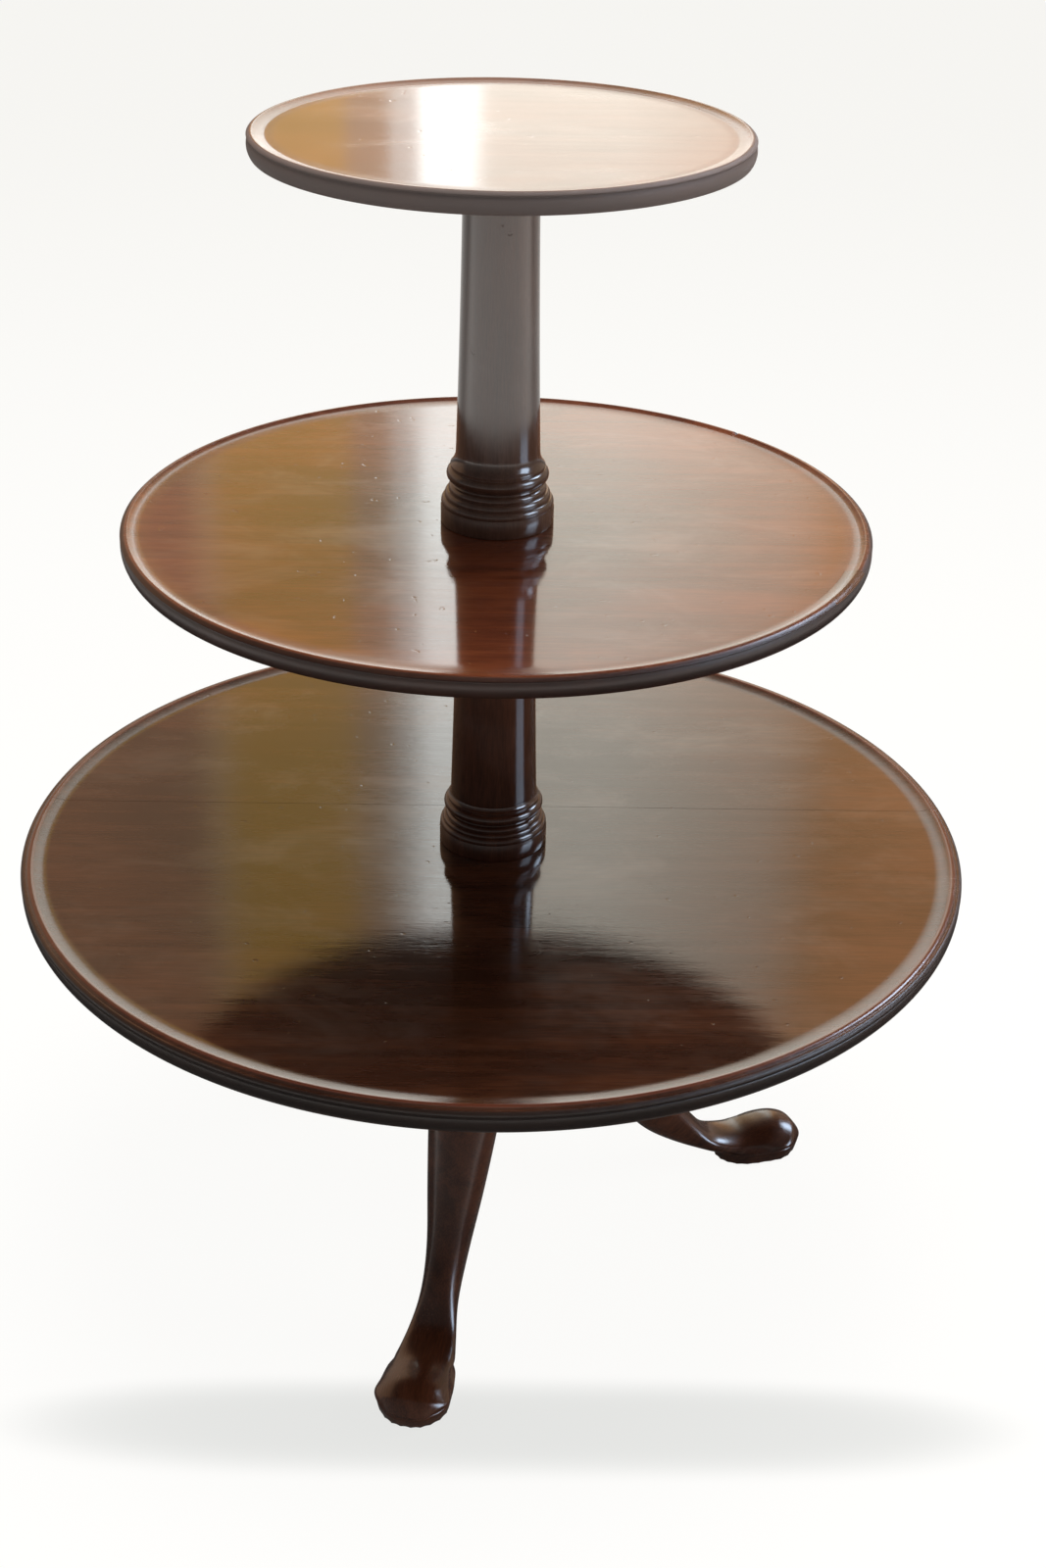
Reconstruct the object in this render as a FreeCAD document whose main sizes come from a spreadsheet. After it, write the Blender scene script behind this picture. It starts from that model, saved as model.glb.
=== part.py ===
import FreeCAD, Part
import math
import os
import Sketcher
from FreeCAD import Placement, Rotation, Vector

# Three-tier revolving stand. The origin is on the floor under the column's axis,
# +Z is up, and -Y is the side that faces the viewer. Lengths are millimetres.

SIZES = {
    # Trays: outer radius, height of the lip's top above the floor, depth of the edge
    "lower_radius": 375.0,
    "lower_lip_height": 371.0,
    "lower_edge_depth": 20.0,
    "lower_dish_depth": 2.3,
    "middle_radius": 280.3,
    "middle_lip_height": 645.1,
    "middle_edge_depth": 15.7,
    "middle_dish_depth": 2.3,
    "top_radius": 176.7,
    "top_lip_height": 932.0,
    "top_edge_depth": 15.4,
    "top_dish_depth": 2.4,
    # Lower tray's moulded edge, as insets from the radius and drops from the lip
    "lower_cove_inset": 22.6,
    "lower_slope_inset": 17.4,
    "lower_slope_drop": 1.9,
    "lower_lip_crown_inset": 9.2,
    "lower_lip_outer_inset": 4.8,
    "lower_lip_outer_drop": 1.1,
    "lower_bead_top_inset": 4.3,
    "lower_bead_top_drop": 1.7,
    "lower_bead_foot_inset": 0.9,
    "lower_bead_foot_drop": 6.2,
    "lower_bead_rise": 1.9,
    "lower_arris_inset": 1.6,
    "lower_arris_drop": 6.7,
    "lower_ovolo_top_inset": 1.0,
    "lower_ovolo_drop": 7.3,
    "lower_ovolo_foot_inset": 4.6,
    "lower_ovolo_rise": 1.7,
    # Middle tray's moulded edge
    "middle_cove_inset": 14.4,
    "middle_slope_inset": 9.8,
    "middle_slope_drop": 1.8,
    "middle_lip_crown_inset": 5.4,
    "middle_lip_outer_drop": 2.6,
    "middle_quirk_inset": 1.1,
    "middle_quirk_top_drop": 3.6,
    "middle_quirk_bottom_drop": 4.6,
    "middle_band_rise": 1.5,
    "middle_band_top_inset": 0.7,
    "middle_band_foot_inset": 2.6,
    # Top tray's moulded edge
    "top_cove_inset": 13.6,
    "top_slope_inset": 11.4,
    "top_slope_drop": 2.1,
    "top_lip_crown_inset": 3.5,
    "top_lip_outer_drop": 2.4,
    "top_quirk_inset": 1.1,
    "top_quirk_top_drop": 3.4,
    "top_quirk_bottom_drop": 4.2,
    "top_band_rise": 1.4,
    "top_band_top_inset": 0.8,
    "top_band_foot_inset": 2.0,
    "lip_nose_rise": 0.6,
    "slope_hollow": 0.15,
    "cove_hollow": 0.08,
    # Glue seam of the lower tray's two boards, behind the axis
    "seam_behind_axis": 50.0,
    # Turned blocks that stiffen each tray round its spindle hole
    "lower_block_radius": 88.0,
    "lower_block_depth": 18.0,
    "middle_block_radius": 62.0,
    "middle_block_depth": 16.0,
    "top_block_radius": 52.0,
    "top_block_depth": 20.0,
    "block_round": 5.0,
    # Spindles, sockets and clearances
    "lower_spindle_radius": 16.0,
    "lower_spindle_reach": 60.0,
    "middle_spindle_radius": 14.0,
    "middle_spindle_reach": 45.0,
    "top_spindle_radius": 11.0,
    "spindle_chamfer": 1.5,
    "running_clearance": 0.08,
    "turning_gap": 0.4,
    "joint_clearance": 0.1,
    # Upper column: barrel radii and the moulded base, as heights above its plinth's foot
    "upper_top_radius": 27.4,
    "upper_barrel_radius": 31.4,
    "upper_barrel_hollow": 0.5,
    "upper_plinth_radius": 42.4,
    "upper_plinth_height": 11.6,
    "upper_quirk_radius": 41.5,
    "upper_quirk_height": 13.9,
    "upper_ovolo_foot_radius": 41.9,
    "upper_ovolo_height": 19.4,
    "upper_ovolo_radius": 40.4,
    "upper_ring_foot_radius": 39.4,
    "upper_ring_height": 24.6,
    "upper_ring_radius": 37.6,
    "upper_bead_foot_radius": 36.4,
    "upper_bead_height": 29.6,
    "upper_neck_radius": 34.2,
    "upper_neck_height": 32.4,
    "upper_torus_foot_radius": 35.6,
    "upper_torus_height": 42.0,
    "upper_fillet_foot_radius": 35.0,
    "upper_fillet_radius": 35.4,
    "upper_fillet_height": 44.6,
    "upper_flare_height": 54.0,
    # Lower column: barrel radii and the moulded base
    "lower_top_radius": 29.9,
    "lower_barrel_radius": 34.2,
    "lower_barrel_hollow": 0.4,
    "lower_plinth_radius": 42.8,
    "lower_plinth_height": 12.0,
    "lower_quirk_radius": 41.9,
    "lower_quirk_height": 13.8,
    "lower_ovolo_foot_radius": 42.2,
    "lower_ovolo_height": 18.8,
    "lower_ovolo_radius": 40.9,
    "lower_ring_foot_radius": 40.1,
    "lower_ring_height": 22.6,
    "lower_ring_radius": 38.8,
    "lower_bead_foot_radius": 37.8,
    "lower_bead_height": 27.0,
    "lower_neck_radius": 35.6,
    "lower_neck_height": 29.2,
    "lower_torus_foot_radius": 36.8,
    "lower_torus_height": 37.4,
    "lower_fillet_foot_radius": 36.2,
    "lower_fillet_radius": 36.6,
    "lower_fillet_height": 39.6,
    "lower_flare_height": 45.0,
    # How far each rounded member of the bases swells out, or hollows in
    "ovolo_swell": 0.8,
    "ring_swell": 0.9,
    "bead_swell": 1.2,
    "neck_hollow": 0.7,
    "torus_swell": 2.6,
    "flare_hollow": 0.9,
    # Pillar that carries the legs, measured down from the tray's block
    "pillar_length": 172.0,
    "pillar_foot_chamfer": 1.5,
    "pillar_block_radius": 39.0,
    "pillar_torus_radius": 40.5,
    "pillar_torus_swell": 3.4,
    "pillar_waist_radius": 33.0,
    "pillar_bulb_radius": 38.0,
    "pillar_bulb_swell": 2.2,
    "pillar_neck_radius": 31.0,
    "pillar_neck_hollow": 2.0,
    "pillar_cap_radius": 44.0,
    "pillar_cap_hollow": 3.0,
    # Legs: where they point, their size, and the dovetail that slides up into the pillar
    "leg_start_angle": -102.2,
    "leg_reach": 295.0,
    "leg_root_depth": 89.0,
    "leg_width": 58.6,
    "foot_length": 75.5,
    "foot_width": 58.6,
    "foot_height": 24.7,
    "dovetail_length": 78.0,
    "dovetail_inner_radius": 21.0,
    "dovetail_neck_width": 15.0,
    "dovetail_tail_width": 23.0,
    "dovetail_overlap": 8.0,
    # Iron bracket under the pillar
    "strap_thickness": 3.0,
    "strap_width": 19.0,
    "strap_hub_radius": 26.0,
    "strap_first_bend_radius": 50.0,
    "strap_second_bend_radius": 66.0,
    "strap_second_bend_drop": 6.0,
    "strap_end_radius": 80.0,
    "strap_end_drop": 19.0,
    "strap_screw_radius": 45.0,
    # Glides under the feet
    "glide_radius": 20.0,
    "glide_height": 3.0,
    "glide_inset": 30.0,
    "glide_round": 0.8,
    # Wood screws
    "screw_shank_radius": 2.2,
    "screw_head_radius": 4.4,
    "screw_head_depth": 2.6,
    "screw_tip_length": 5.0,
    "screw_slot_width": 1.0,
    "screw_slot_depth": 1.1,
    "screw_bite": 9.0,
    "strap_screw_length": 25.0,
    "lower_screw_circle": 74.0,
    "middle_screw_circle": 50.0,
    "top_screw_circle": 40.0,
    # Let-in repair of the middle tray's lip
    "patch_start_angle": -19.5,
    "patch_angle": 12.7,
    "cut_overrun": 5.0,
}

LEG_COUNT = 3
LOWER_SCREW_COUNT = 6
SMALL_SCREW_COUNT = 4
RING_POINTS = 20
quarter_round_share = 0.29

doc = FreeCAD.newDocument("serving_stand")
sheet = doc.addObject("Spreadsheet::Sheet", "sizes")
for row, (alias, number) in enumerate(SIZES.items(), start=1):
    sheet.set("A%d" % row, alias)
    sheet.set("B%d" % row, str(number))
    sheet.setAlias("B%d" % row, alias)
doc.recompute()


# A size keeps its number beside the sheet expression that gives it
class Size:
    def __init__(self, text, value):
        self.text = text
        self.value = value

    def __add__(self, other):
        other = as_size(other)
        return Size("(%s + %s)" % (self.text, other.text), self.value + other.value)

    def __sub__(self, other):
        other = as_size(other)
        return Size("(%s - %s)" % (self.text, other.text), self.value - other.value)

    def __mul__(self, other):
        other = as_size(other)
        return Size("(%s * %s)" % (self.text, other.text), self.value * other.value)

    def __truediv__(self, other):
        other = as_size(other)
        return Size("(%s / %s)" % (self.text, other.text), self.value / other.value)

    def __neg__(self):
        return Size("(0 - %s)" % self.text, -self.value)


def as_size(value):
    return value if isinstance(value, Size) else Size(repr(value), value)


def value(alias):
    return float(sheet.get(alias))


def named(alias):
    return Size("sizes.%s" % alias, value(alias))


def bind(thing, prop, size):
    thing.setExpression(prop, size.text)


def arc_radius(start, end, rise):
    across = end[0] - start[0]
    up = end[1] - start[1]
    chord_squared = across * across + up * up
    return (chord_squared / 4 + rise * rise) / (rise * 2)


def plane_of(body, role):
    for feature in body.Origin.OriginFeatures:
        if feature.Role == role:
            return feature


def pin_point(sketch, geometry, end, point):
    for size, kind, axis in ((point[0], "DistanceX", -2), (point[1], "DistanceY", -1)):
        if size.value == 0:
            sketch.addConstraint(Sketcher.Constraint("PointOnObject", geometry, end, axis))
            continue
        index = sketch.addConstraint(Sketcher.Constraint(kind, -1, 1, geometry, end, size.value))
        bind(sketch, "Constraints[%d]" % index, size)


# A closed outline, run with the material on its left. Each corner is (across, up)
# and may carry the rise of the arc to the next corner: plus swells, minus hollows.
def draw_outline(sketch, corners):
    corners = [[as_size(item) for item in corner] for corner in corners]
    ends = []
    for index, corner in enumerate(corners):
        follower = corners[(index + 1) % len(corners)]
        start = Vector(corner[0].value, corner[1].value, 0)
        end = Vector(follower[0].value, follower[1].value, 0)
        if len(corner) == 2:
            sketch.addGeometry(Part.LineSegment(start, end), False)
            ends.append((1, 2))
            continue
        rise = corner[2]
        run = end - start
        outward = Vector(run.y, -run.x, 0).normalize()
        swells = rise.value > 0
        radius = arc_radius(corner, follower, rise if swells else -rise).value
        centre = (start + end) * 0.5 + outward * (rise.value - math.copysign(radius, rise.value))
        first, last = (start, end) if swells else (end, start)
        low = math.atan2(first.y - centre.y, first.x - centre.x)
        high = math.atan2(last.y - centre.y, last.x - centre.x)
        if high < low:
            high += 2 * math.pi
        round_line = Part.Circle(centre, Vector(0, 0, 1), radius)
        sketch.addGeometry(Part.ArcOfCircle(round_line, low, high), False)
        ends.append((1, 2) if swells else (2, 1))
    for index, corner in enumerate(corners):
        follower = (index + 1) % len(corners)
        meeting = ("Coincident", index, ends[index][1], follower, ends[follower][0])
        sketch.addConstraint(Sketcher.Constraint(*meeting))
        pin_point(sketch, index, ends[index][0], corner)
    for index, corner in enumerate(corners):
        if len(corner) == 3:
            rise = corner[2] if corner[2].value > 0 else -corner[2]
            radius = arc_radius(corner, corners[(index + 1) % len(corners)], rise)
            count = sketch.addConstraint(Sketcher.Constraint("Radius", index, radius.value))
            bind(sketch, "Constraints[%d]" % count, radius)


def new_sketch(body, name, role, turn=0):
    sketch = body.newObject("Sketcher::SketchObject", name)
    sketch.AttachmentSupport = [(plane_of(body, role), "")]
    sketch.MapMode = "FlatFace"
    if turn:
        sketch.AttachmentOffset = Placement(Vector(0, 0, 0), Rotation(Vector(0, 1, 0), turn))
    return sketch


def turned_body(label, corners, angle=None):
    body = doc.addObject("PartDesign::Body", label)
    sketch = new_sketch(body, label + "_outline", "XZ_Plane")
    draw_outline(sketch, corners)
    turned = body.newObject("PartDesign::Revolution", label + "_turned")
    turned.Profile = sketch
    turned.ReferenceAxis = (sketch, ["V_Axis"])
    turned.Angle = 360
    if angle:
        bind(turned, "Angle", angle)
    body.Tip = turned
    doc.recompute()
    return body


# A pocket upward from the floor plane, through whatever lies under its height
def cut_upward(body, name, height, corners=None, circle=None, copies=1):
    sketch = new_sketch(body, name + "_outline", "XY_Plane")
    if corners:
        draw_outline(sketch, corners)
    else:
        place, radius = circle
        line = Part.Circle(Vector(place[0].value, place[1].value, 0), Vector(0, 0, 1), radius.value)
        sketch.addGeometry(line, False)
        pin_point(sketch, 0, 3, place)
        index = sketch.addConstraint(Sketcher.Constraint("Radius", 0, radius.value))
        bind(sketch, "Constraints[%d]" % index, radius)
    pocket = body.newObject("PartDesign::Pocket", name)
    pocket.Profile = sketch
    pocket.Reversed = True
    pocket.Length = height.value
    bind(pocket, "Length", height)
    body.Tip = pocket
    doc.recompute()
    if copies > 1:
        pattern = body.newObject("PartDesign::PolarPattern", name + "_copies")
        pattern.Originals = [pocket]
        pattern.Axis = (sketch, ["N_Axis"])
        pattern.Angle = 360
        pattern.Occurrences = copies
        body.Tip = pattern
        doc.recompute()
    return body


joint = named("joint_clearance")
running = named("running_clearance")
turning = named("turning_gap")
overrun = named("cut_overrun")
nose = named("lip_nose_rise")
slope_hollow = named("slope_hollow")
cove_hollow = named("cove_hollow")


# Trays, each turned from the board with its dish, the slope up to its lip and its moulded edge

def tray_levels(tier):
    lip = named(tier + "_lip_height")
    dish = lip - named(tier + "_dish_depth")
    under = lip - named(tier + "_edge_depth")
    return lip, dish, under


def lip_and_cove(tier, outer_inset):
    radius = named(tier + "_radius")
    lip, dish, under = tray_levels(tier)
    return [
        (radius - outer_inset, lip - named(tier + "_lip_outer_drop"), nose),
        (radius - named(tier + "_lip_crown_inset"), lip, -slope_hollow),
        (radius - named(tier + "_slope_inset"), lip - named(tier + "_slope_drop"), -cove_hollow),
        (radius - named(tier + "_cove_inset"), dish),
    ]


lower_hole = named("lower_spindle_radius") + running
middle_hole = named("middle_spindle_radius") + running
lower_lip, lower_dish, lower_under = tray_levels("lower")
middle_lip, middle_dish = tray_levels("middle")[:2]
top_under = tray_levels("top")[2]

lower_radius = named("lower_radius")
lower_bead_rise = named("lower_bead_rise")
lower_outline = [
    (lower_hole, lower_under),
    (lower_radius - named("lower_ovolo_foot_inset"), lower_under, named("lower_ovolo_rise")),
    (lower_radius - named("lower_ovolo_top_inset"), lower_lip - named("lower_ovolo_drop")),
    (lower_radius - named("lower_arris_inset"), lower_lip - named("lower_arris_drop")),
    (lower_radius - named("lower_bead_foot_inset"), lower_lip - named("lower_bead_foot_drop"), lower_bead_rise),
    (lower_radius - named("lower_bead_top_inset"), lower_lip - named("lower_bead_top_drop")),
] + lip_and_cove("lower", named("lower_lip_outer_inset")) + [(lower_hole, lower_dish)]


def banded_edge(tier, first, last):
    radius = named(tier + "_radius")
    lip, dish, under = tray_levels(tier)
    band_top = named(tier + "_quirk_bottom_drop")
    return [
        (first, under),
        (radius - named(tier + "_band_foot_inset"), under, named(tier + "_band_rise")),
        (radius - named(tier + "_band_top_inset"), lip - band_top),
        (radius - named(tier + "_quirk_inset"), lip - named(tier + "_quirk_top_drop")),
    ] + lip_and_cove(tier, as_size(0)) + [(last, dish)]


def lower_board(label, keeps_front):
    body = turned_body(label, lower_outline)
    seam = named("seam_behind_axis")
    far = lower_radius + overrun
    left_seam = (-far, seam)
    right_seam = (far, seam)
    if keeps_front:
        corners = [left_seam, right_seam, (far, far), (-far, far)]
    else:
        corners = [(-far, -far), (far, -far), right_seam, left_seam]
    return cut_upward(body, label + "_seam", lower_lip + overrun, corners=corners)


def screw_places(circle, count):
    step = 2 * math.pi / count
    return [(circle * math.cos(step * (i + 0.5)), circle * math.sin(step * (i + 0.5))) for i in range(count)]


def drill_for_screws(body, tier, count, depth_over_board):
    circle = named(tier + "_screw_circle")
    first = screw_places(circle, count)[0]
    shank = named("screw_shank_radius") + joint
    height = tray_levels(tier)[2] + depth_over_board
    return cut_upward(body, body.Label + "_pilot", height, circle=(first, shank), copies=count)


pilot_depth = named("screw_bite") + joint
front_board = lower_board("lower_tray_front_board", True)
drill_for_screws(front_board, "lower", LOWER_SCREW_COUNT, pilot_depth)
back_board = lower_board("lower_tray_back_board", False)
drill_for_screws(back_board, "lower", LOWER_SCREW_COUNT, pilot_depth)

middle_tray = turned_body("middle_tray", banded_edge("middle", middle_hole, middle_hole))
drill_for_screws(middle_tray, "middle", SMALL_SCREW_COUNT, pilot_depth)
top_tray = turned_body("top_tray", banded_edge("top", as_size(0), as_size(0)))
drill_for_screws(top_tray, "top", SMALL_SCREW_COUNT, pilot_depth)

# Repair of the middle tray's lip: a strip let in from the quirk up, with the lip's own section
patch_start = value("patch_start_angle")
patch_floor = middle_lip - named("middle_quirk_top_drop")
patch_inside = named("middle_radius") - named("middle_cove_inset")
seat_inside = patch_inside - joint
patch_reach = named("middle_radius") + overrun
patch_seat = new_sketch(middle_tray, "patch_seat_outline", "XZ_Plane", patch_start)
draw_outline(patch_seat, [
    (seat_inside, patch_floor),
    (patch_reach, patch_floor),
    (patch_reach, middle_lip + overrun),
    (seat_inside, middle_lip + overrun),
])
patch_groove = middle_tray.newObject("PartDesign::Groove", "patch_seat")
patch_groove.Profile = patch_seat
patch_groove.ReferenceAxis = (patch_seat, ["V_Axis"])
patch_groove.Angle = value("patch_angle")
bind(patch_groove, "Angle", named("patch_angle"))
middle_tray.Tip = patch_groove
doc.recompute()

patch_outline = [
    (patch_inside, patch_floor),
    (named("middle_radius") - named("middle_quirk_inset"), patch_floor),
] + lip_and_cove("middle", as_size(0))
lip_patch = turned_body("middle_lip_patch", patch_outline, named("patch_angle"))
lip_patch.Placement = Placement(Vector(0, 0, 0), Rotation(Vector(0, 0, 1), patch_start))

# Turned blocks under the trays, each with its spindle hole and rounded lower edge


def tray_block(label, tier, hole, count):
    radius = named(tier + "_block_radius")
    under = tray_levels(tier)[2] - named(tier + "_block_depth")
    edge = named("block_round")
    body = turned_body(label, [
        (hole, under),
        (radius - edge, under, edge * quarter_round_share),
        (radius, under + edge),
        (radius, tray_levels(tier)[2]),
        (hole, tray_levels(tier)[2]),
    ])
    drill_for_screws(body, tier, count, pilot_depth)
    head = named("screw_head_radius") + joint
    first = screw_places(named(tier + "_screw_circle"), count)[0]
    seat = under + named("screw_head_depth") + joint
    cut_upward(body, label + "_head_seat", seat, circle=(first, head), copies=count)
    return under


lower_block_foot = tray_block("lower_tray_block", "lower", lower_hole, LOWER_SCREW_COUNT)
middle_block_foot = tray_block(
    "middle_tray_block", "middle", middle_hole, SMALL_SCREW_COUNT
)
top_hole = named("top_spindle_radius") + running
top_block_foot = tray_block("top_tray_block", "top", top_hole, SMALL_SCREW_COUNT)

# Column sections, each turned in one piece with the spindle under its plinth


def moulded_base(tier, foot):
    def place(radius, height, *rise):
        return (named("%s_%s" % (tier, radius)), foot + named("%s_%s" % (tier, height))) + rise

    return [
        (named(tier + "_plinth_radius"), foot),
        place("plinth_radius", "plinth_height"),
        place("quirk_radius", "quirk_height"),
        place("ovolo_foot_radius", "quirk_height", named("ovolo_swell")),
        place("ovolo_radius", "ovolo_height"),
        place("ring_foot_radius", "ovolo_height", named("ring_swell")),
        place("ring_radius", "ring_height"),
        place("bead_foot_radius", "ring_height", named("bead_swell")),
        place("neck_radius", "bead_height", -named("neck_hollow")),
        place("neck_radius", "neck_height"),
        place("torus_foot_radius", "neck_height", named("torus_swell")),
        place("torus_foot_radius", "torus_height"),
        place("fillet_foot_radius", "torus_height"),
        place("fillet_radius", "fillet_height", -named("flare_hollow")),
        place("barrel_radius", "flare_height", -named(tier + "_barrel_hollow")),
    ]


chamfer = named("spindle_chamfer")
lower_foot = lower_dish + turning
middle_foot = middle_dish + turning
lower_shoulder = lower_block_foot - turning
middle_shoulder = middle_block_foot - turning
top_shoulder = top_block_foot - turning
lower_spindle = named("lower_spindle_radius")
middle_spindle = named("middle_spindle_radius")
top_spindle = named("top_spindle_radius")
lower_spindle_foot = lower_shoulder - named("lower_spindle_reach")
middle_spindle_foot = middle_shoulder - named("middle_spindle_reach")
middle_socket_floor = middle_spindle_foot - joint

turned_body("lower_column", [
    (as_size(0), lower_spindle_foot),
    (lower_spindle - chamfer, lower_spindle_foot),
    (lower_spindle, lower_spindle_foot + chamfer),
    (lower_spindle, lower_foot),
] + moulded_base("lower", lower_foot) + [
    (named("lower_top_radius"), middle_shoulder),
    (middle_spindle + joint, middle_shoulder),
    (middle_spindle + joint, middle_socket_floor),
    (as_size(0), middle_socket_floor),
])
turned_body("upper_column", [
    (as_size(0), middle_spindle_foot),
    (middle_spindle - chamfer, middle_spindle_foot),
    (middle_spindle, middle_spindle_foot + chamfer),
    (middle_spindle, middle_foot),
] + moulded_base("upper", middle_foot) + [
    (named("upper_top_radius"), top_shoulder),
    (top_spindle, top_shoulder),
    (top_spindle, top_under - turning - chamfer),
    (top_spindle - chamfer, top_under - turning),
    (as_size(0), top_under - turning),
])

# Pillar: turned, bored for the lower spindle and slotted for the legs' dovetails.
# The levels of its mouldings are shares of its length, counted up from its foot.
BLOCK_TOP_SHARE = 0.576
TORUS_TOP_SHARE = 0.627
WAIST_SHARE = 0.652
BULB_FOOT_SHARE = 0.746
NECK_FOOT_SHARE = 0.884
CAP_FOOT_SHARE = 0.940
pillar_length = named("pillar_length")
pillar_foot = lower_shoulder - pillar_length
block_radius = named("pillar_block_radius")
foot_chamfer = named("pillar_foot_chamfer")
lower_socket_floor = lower_spindle_foot - joint


def pillar_point(part, share, *rise):
    return (named("pillar_%s_radius" % part), pillar_foot + pillar_length * share) + rise


pillar = turned_body("pillar", [
    (as_size(0), pillar_foot),
    (block_radius - foot_chamfer, pillar_foot),
    (block_radius, pillar_foot + foot_chamfer),
    pillar_point("block", BLOCK_TOP_SHARE),
    pillar_point("torus", BLOCK_TOP_SHARE, named("pillar_torus_swell")),
    pillar_point("torus", TORUS_TOP_SHARE),
    pillar_point("waist", WAIST_SHARE),
    pillar_point("bulb", BULB_FOOT_SHARE, named("pillar_bulb_swell")),
    pillar_point("neck", NECK_FOOT_SHARE, -named("pillar_neck_hollow")),
    pillar_point("cap", CAP_FOOT_SHARE),
    (named("pillar_cap_radius"), lower_shoulder),
    (lower_spindle + joint, lower_shoulder),
    (lower_spindle + joint, lower_socket_floor),
    (as_size(0), lower_socket_floor),
])
slot_inside = named("dovetail_inner_radius") - joint
half_neck = named("dovetail_neck_width") / 2 + joint
half_tail = named("dovetail_tail_width") / 2 + joint
slot_outside = block_radius + overrun
cut_upward(
    pillar, "dovetail_slot", pillar_foot + named("dovetail_length") + joint,
    corners=[
        (slot_inside, -half_tail),
        (block_radius, -half_neck),
        (slot_outside, -half_neck),
        (slot_outside, half_neck),
        (block_radius, half_neck),
        (slot_inside, half_tail),
    ],
    copies=LEG_COUNT,
)
centre_screw_top = pillar_foot + named("strap_screw_length") + joint
cut_upward(
    pillar, "centre_pilot", centre_screw_top,
    circle=((as_size(0), as_size(0)), named("screw_shank_radius") + joint),
)
leg_start = value("leg_start_angle")
pillar.Placement = Placement(Vector(0, 0, 0), Rotation(Vector(0, 0, 1), leg_start))

# Iron bracket: a round hub with three straps that bend down along the legs
strap = named("strap_thickness")
bracket_top = pillar_foot - joint
bracket = doc.addObject("PartDesign::Body", "leg_bracket")
strap_side = new_sketch(bracket, "strap_side", "XZ_Plane")
strap_bends = [
    (named("strap_first_bend_radius"), bracket_top),
    (named("strap_second_bend_radius"), bracket_top - named("strap_second_bend_drop")),
    (named("strap_end_radius"), bracket_top - named("strap_end_drop")),
]
draw_outline(strap_side, [
    (as_size(0), bracket_top - strap),
] + [(across, height - strap) for across, height in strap_bends] + [
    strap_bends[2],
    strap_bends[1],
    strap_bends[0],
    (as_size(0), bracket_top),
])
strap_arm = bracket.newObject("PartDesign::Pad", "strap_arm")
strap_arm.Profile = strap_side
strap_arm.Midplane = True
strap_arm.Length = value("strap_width")
bind(strap_arm, "Length", named("strap_width"))
bracket.Tip = strap_arm
doc.recompute()
strap_arms = bracket.newObject("PartDesign::PolarPattern", "strap_arms")
strap_arms.Originals = [strap_arm]
strap_arms.Axis = (strap_side, ["V_Axis"])
strap_arms.Angle = 360
strap_arms.Occurrences = LEG_COUNT
bracket.Tip = strap_arms
doc.recompute()
hub_side = new_sketch(bracket, "hub_side", "XZ_Plane")
draw_outline(hub_side, [
    (as_size(0), bracket_top - strap),
    (named("strap_hub_radius"), bracket_top - strap),
    (named("strap_hub_radius"), bracket_top),
    (as_size(0), bracket_top),
])
hub = bracket.newObject("PartDesign::Revolution", "hub")
hub.Profile = hub_side
hub.ReferenceAxis = (hub_side, ["V_Axis"])
hub.Angle = 360
bracket.Tip = hub
doc.recompute()
strap_head = named("screw_head_radius") + joint
cut_upward(bracket, "hub_screw_hole", pillar_foot, circle=((as_size(0), as_size(0)), strap_head))
cut_upward(
    bracket, "arm_screw_hole", pillar_foot,
    circle=((named("strap_screw_radius"), as_size(0)), strap_head), copies=LEG_COUNT,
)
bracket.Placement = Placement(Vector(0, 0, 0), Rotation(Vector(0, 0, 1), leg_start))

# Legs. Each station has a point on the leg's upper line and one on its lower line, as
# shares of the leg's reach and of its top height, and half its width as a share of it.

LEG_STATION_SHARES = {
    "root": ((0.1026, 1.0000), (0.1026, 0.6478), 0.4655),
    "shoulder": ((0.1915, 0.9757), (0.1778, 0.6397), 0.4914),
    "knee": ((0.2940, 0.8907), (0.2291, 0.6154), 0.5000),
    "below_knee": ((0.3938, 0.7126), (0.2803, 0.5547), 0.4879),
    "calf": ((0.4862, 0.5040), (0.3726, 0.3826), 0.3948),
    "shin": ((0.5675, 0.3279), (0.4769, 0.2166), 0.2897),
    "ankle": ((0.6444, 0.2105), (0.5880, 0.1194), 0.2655),
    "instep": ((0.7145, 0.1377), (0.6940, 0.0688), 0.3276),
    "in_foot": ((0.8068, 0.0972), (0.7556, 0.0425), 0.4138),
    "end": ((0.8821, 0.0810), (0.8068, 0.0283), 0.3276),
}
# Levels of the foot: height over the glide as a share of the foot's height, then how far the
# heel and the toe stand back from the leg's reach as shares of its length, then half the width
FOOT_LEVEL_SHARES = {
    "sole": (0.000, 0.954, 0.053, 0.449),
    "sole_edge": (0.120, 0.985, 0.020, 0.478),
    "crease": (0.360, 1.000, 0.000, 0.500),
    "swell": (0.600, 0.960, 0.092, 0.478),
    "dome_side": (0.840, 0.850, 0.232, 0.400),
    "dome_top": (1.000, 0.728, 0.430, 0.220),
}
leg_section_power_share = 2.3
foot_section_power_share = 2.7


def signed_power(value, power):
    return math.copysign(abs(value) ** power, value)


def ring_points(centre, up_reach, width_reach, power):
    points = []
    for step in range(RING_POINTS):
        turn = 2 * math.pi * step / RING_POINTS
        along = up_reach * signed_power(math.cos(turn), 2 / power)
        sideways = width_reach * signed_power(math.sin(turn), 2 / power)
        points.append(centre + along + sideways)
    return points


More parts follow.
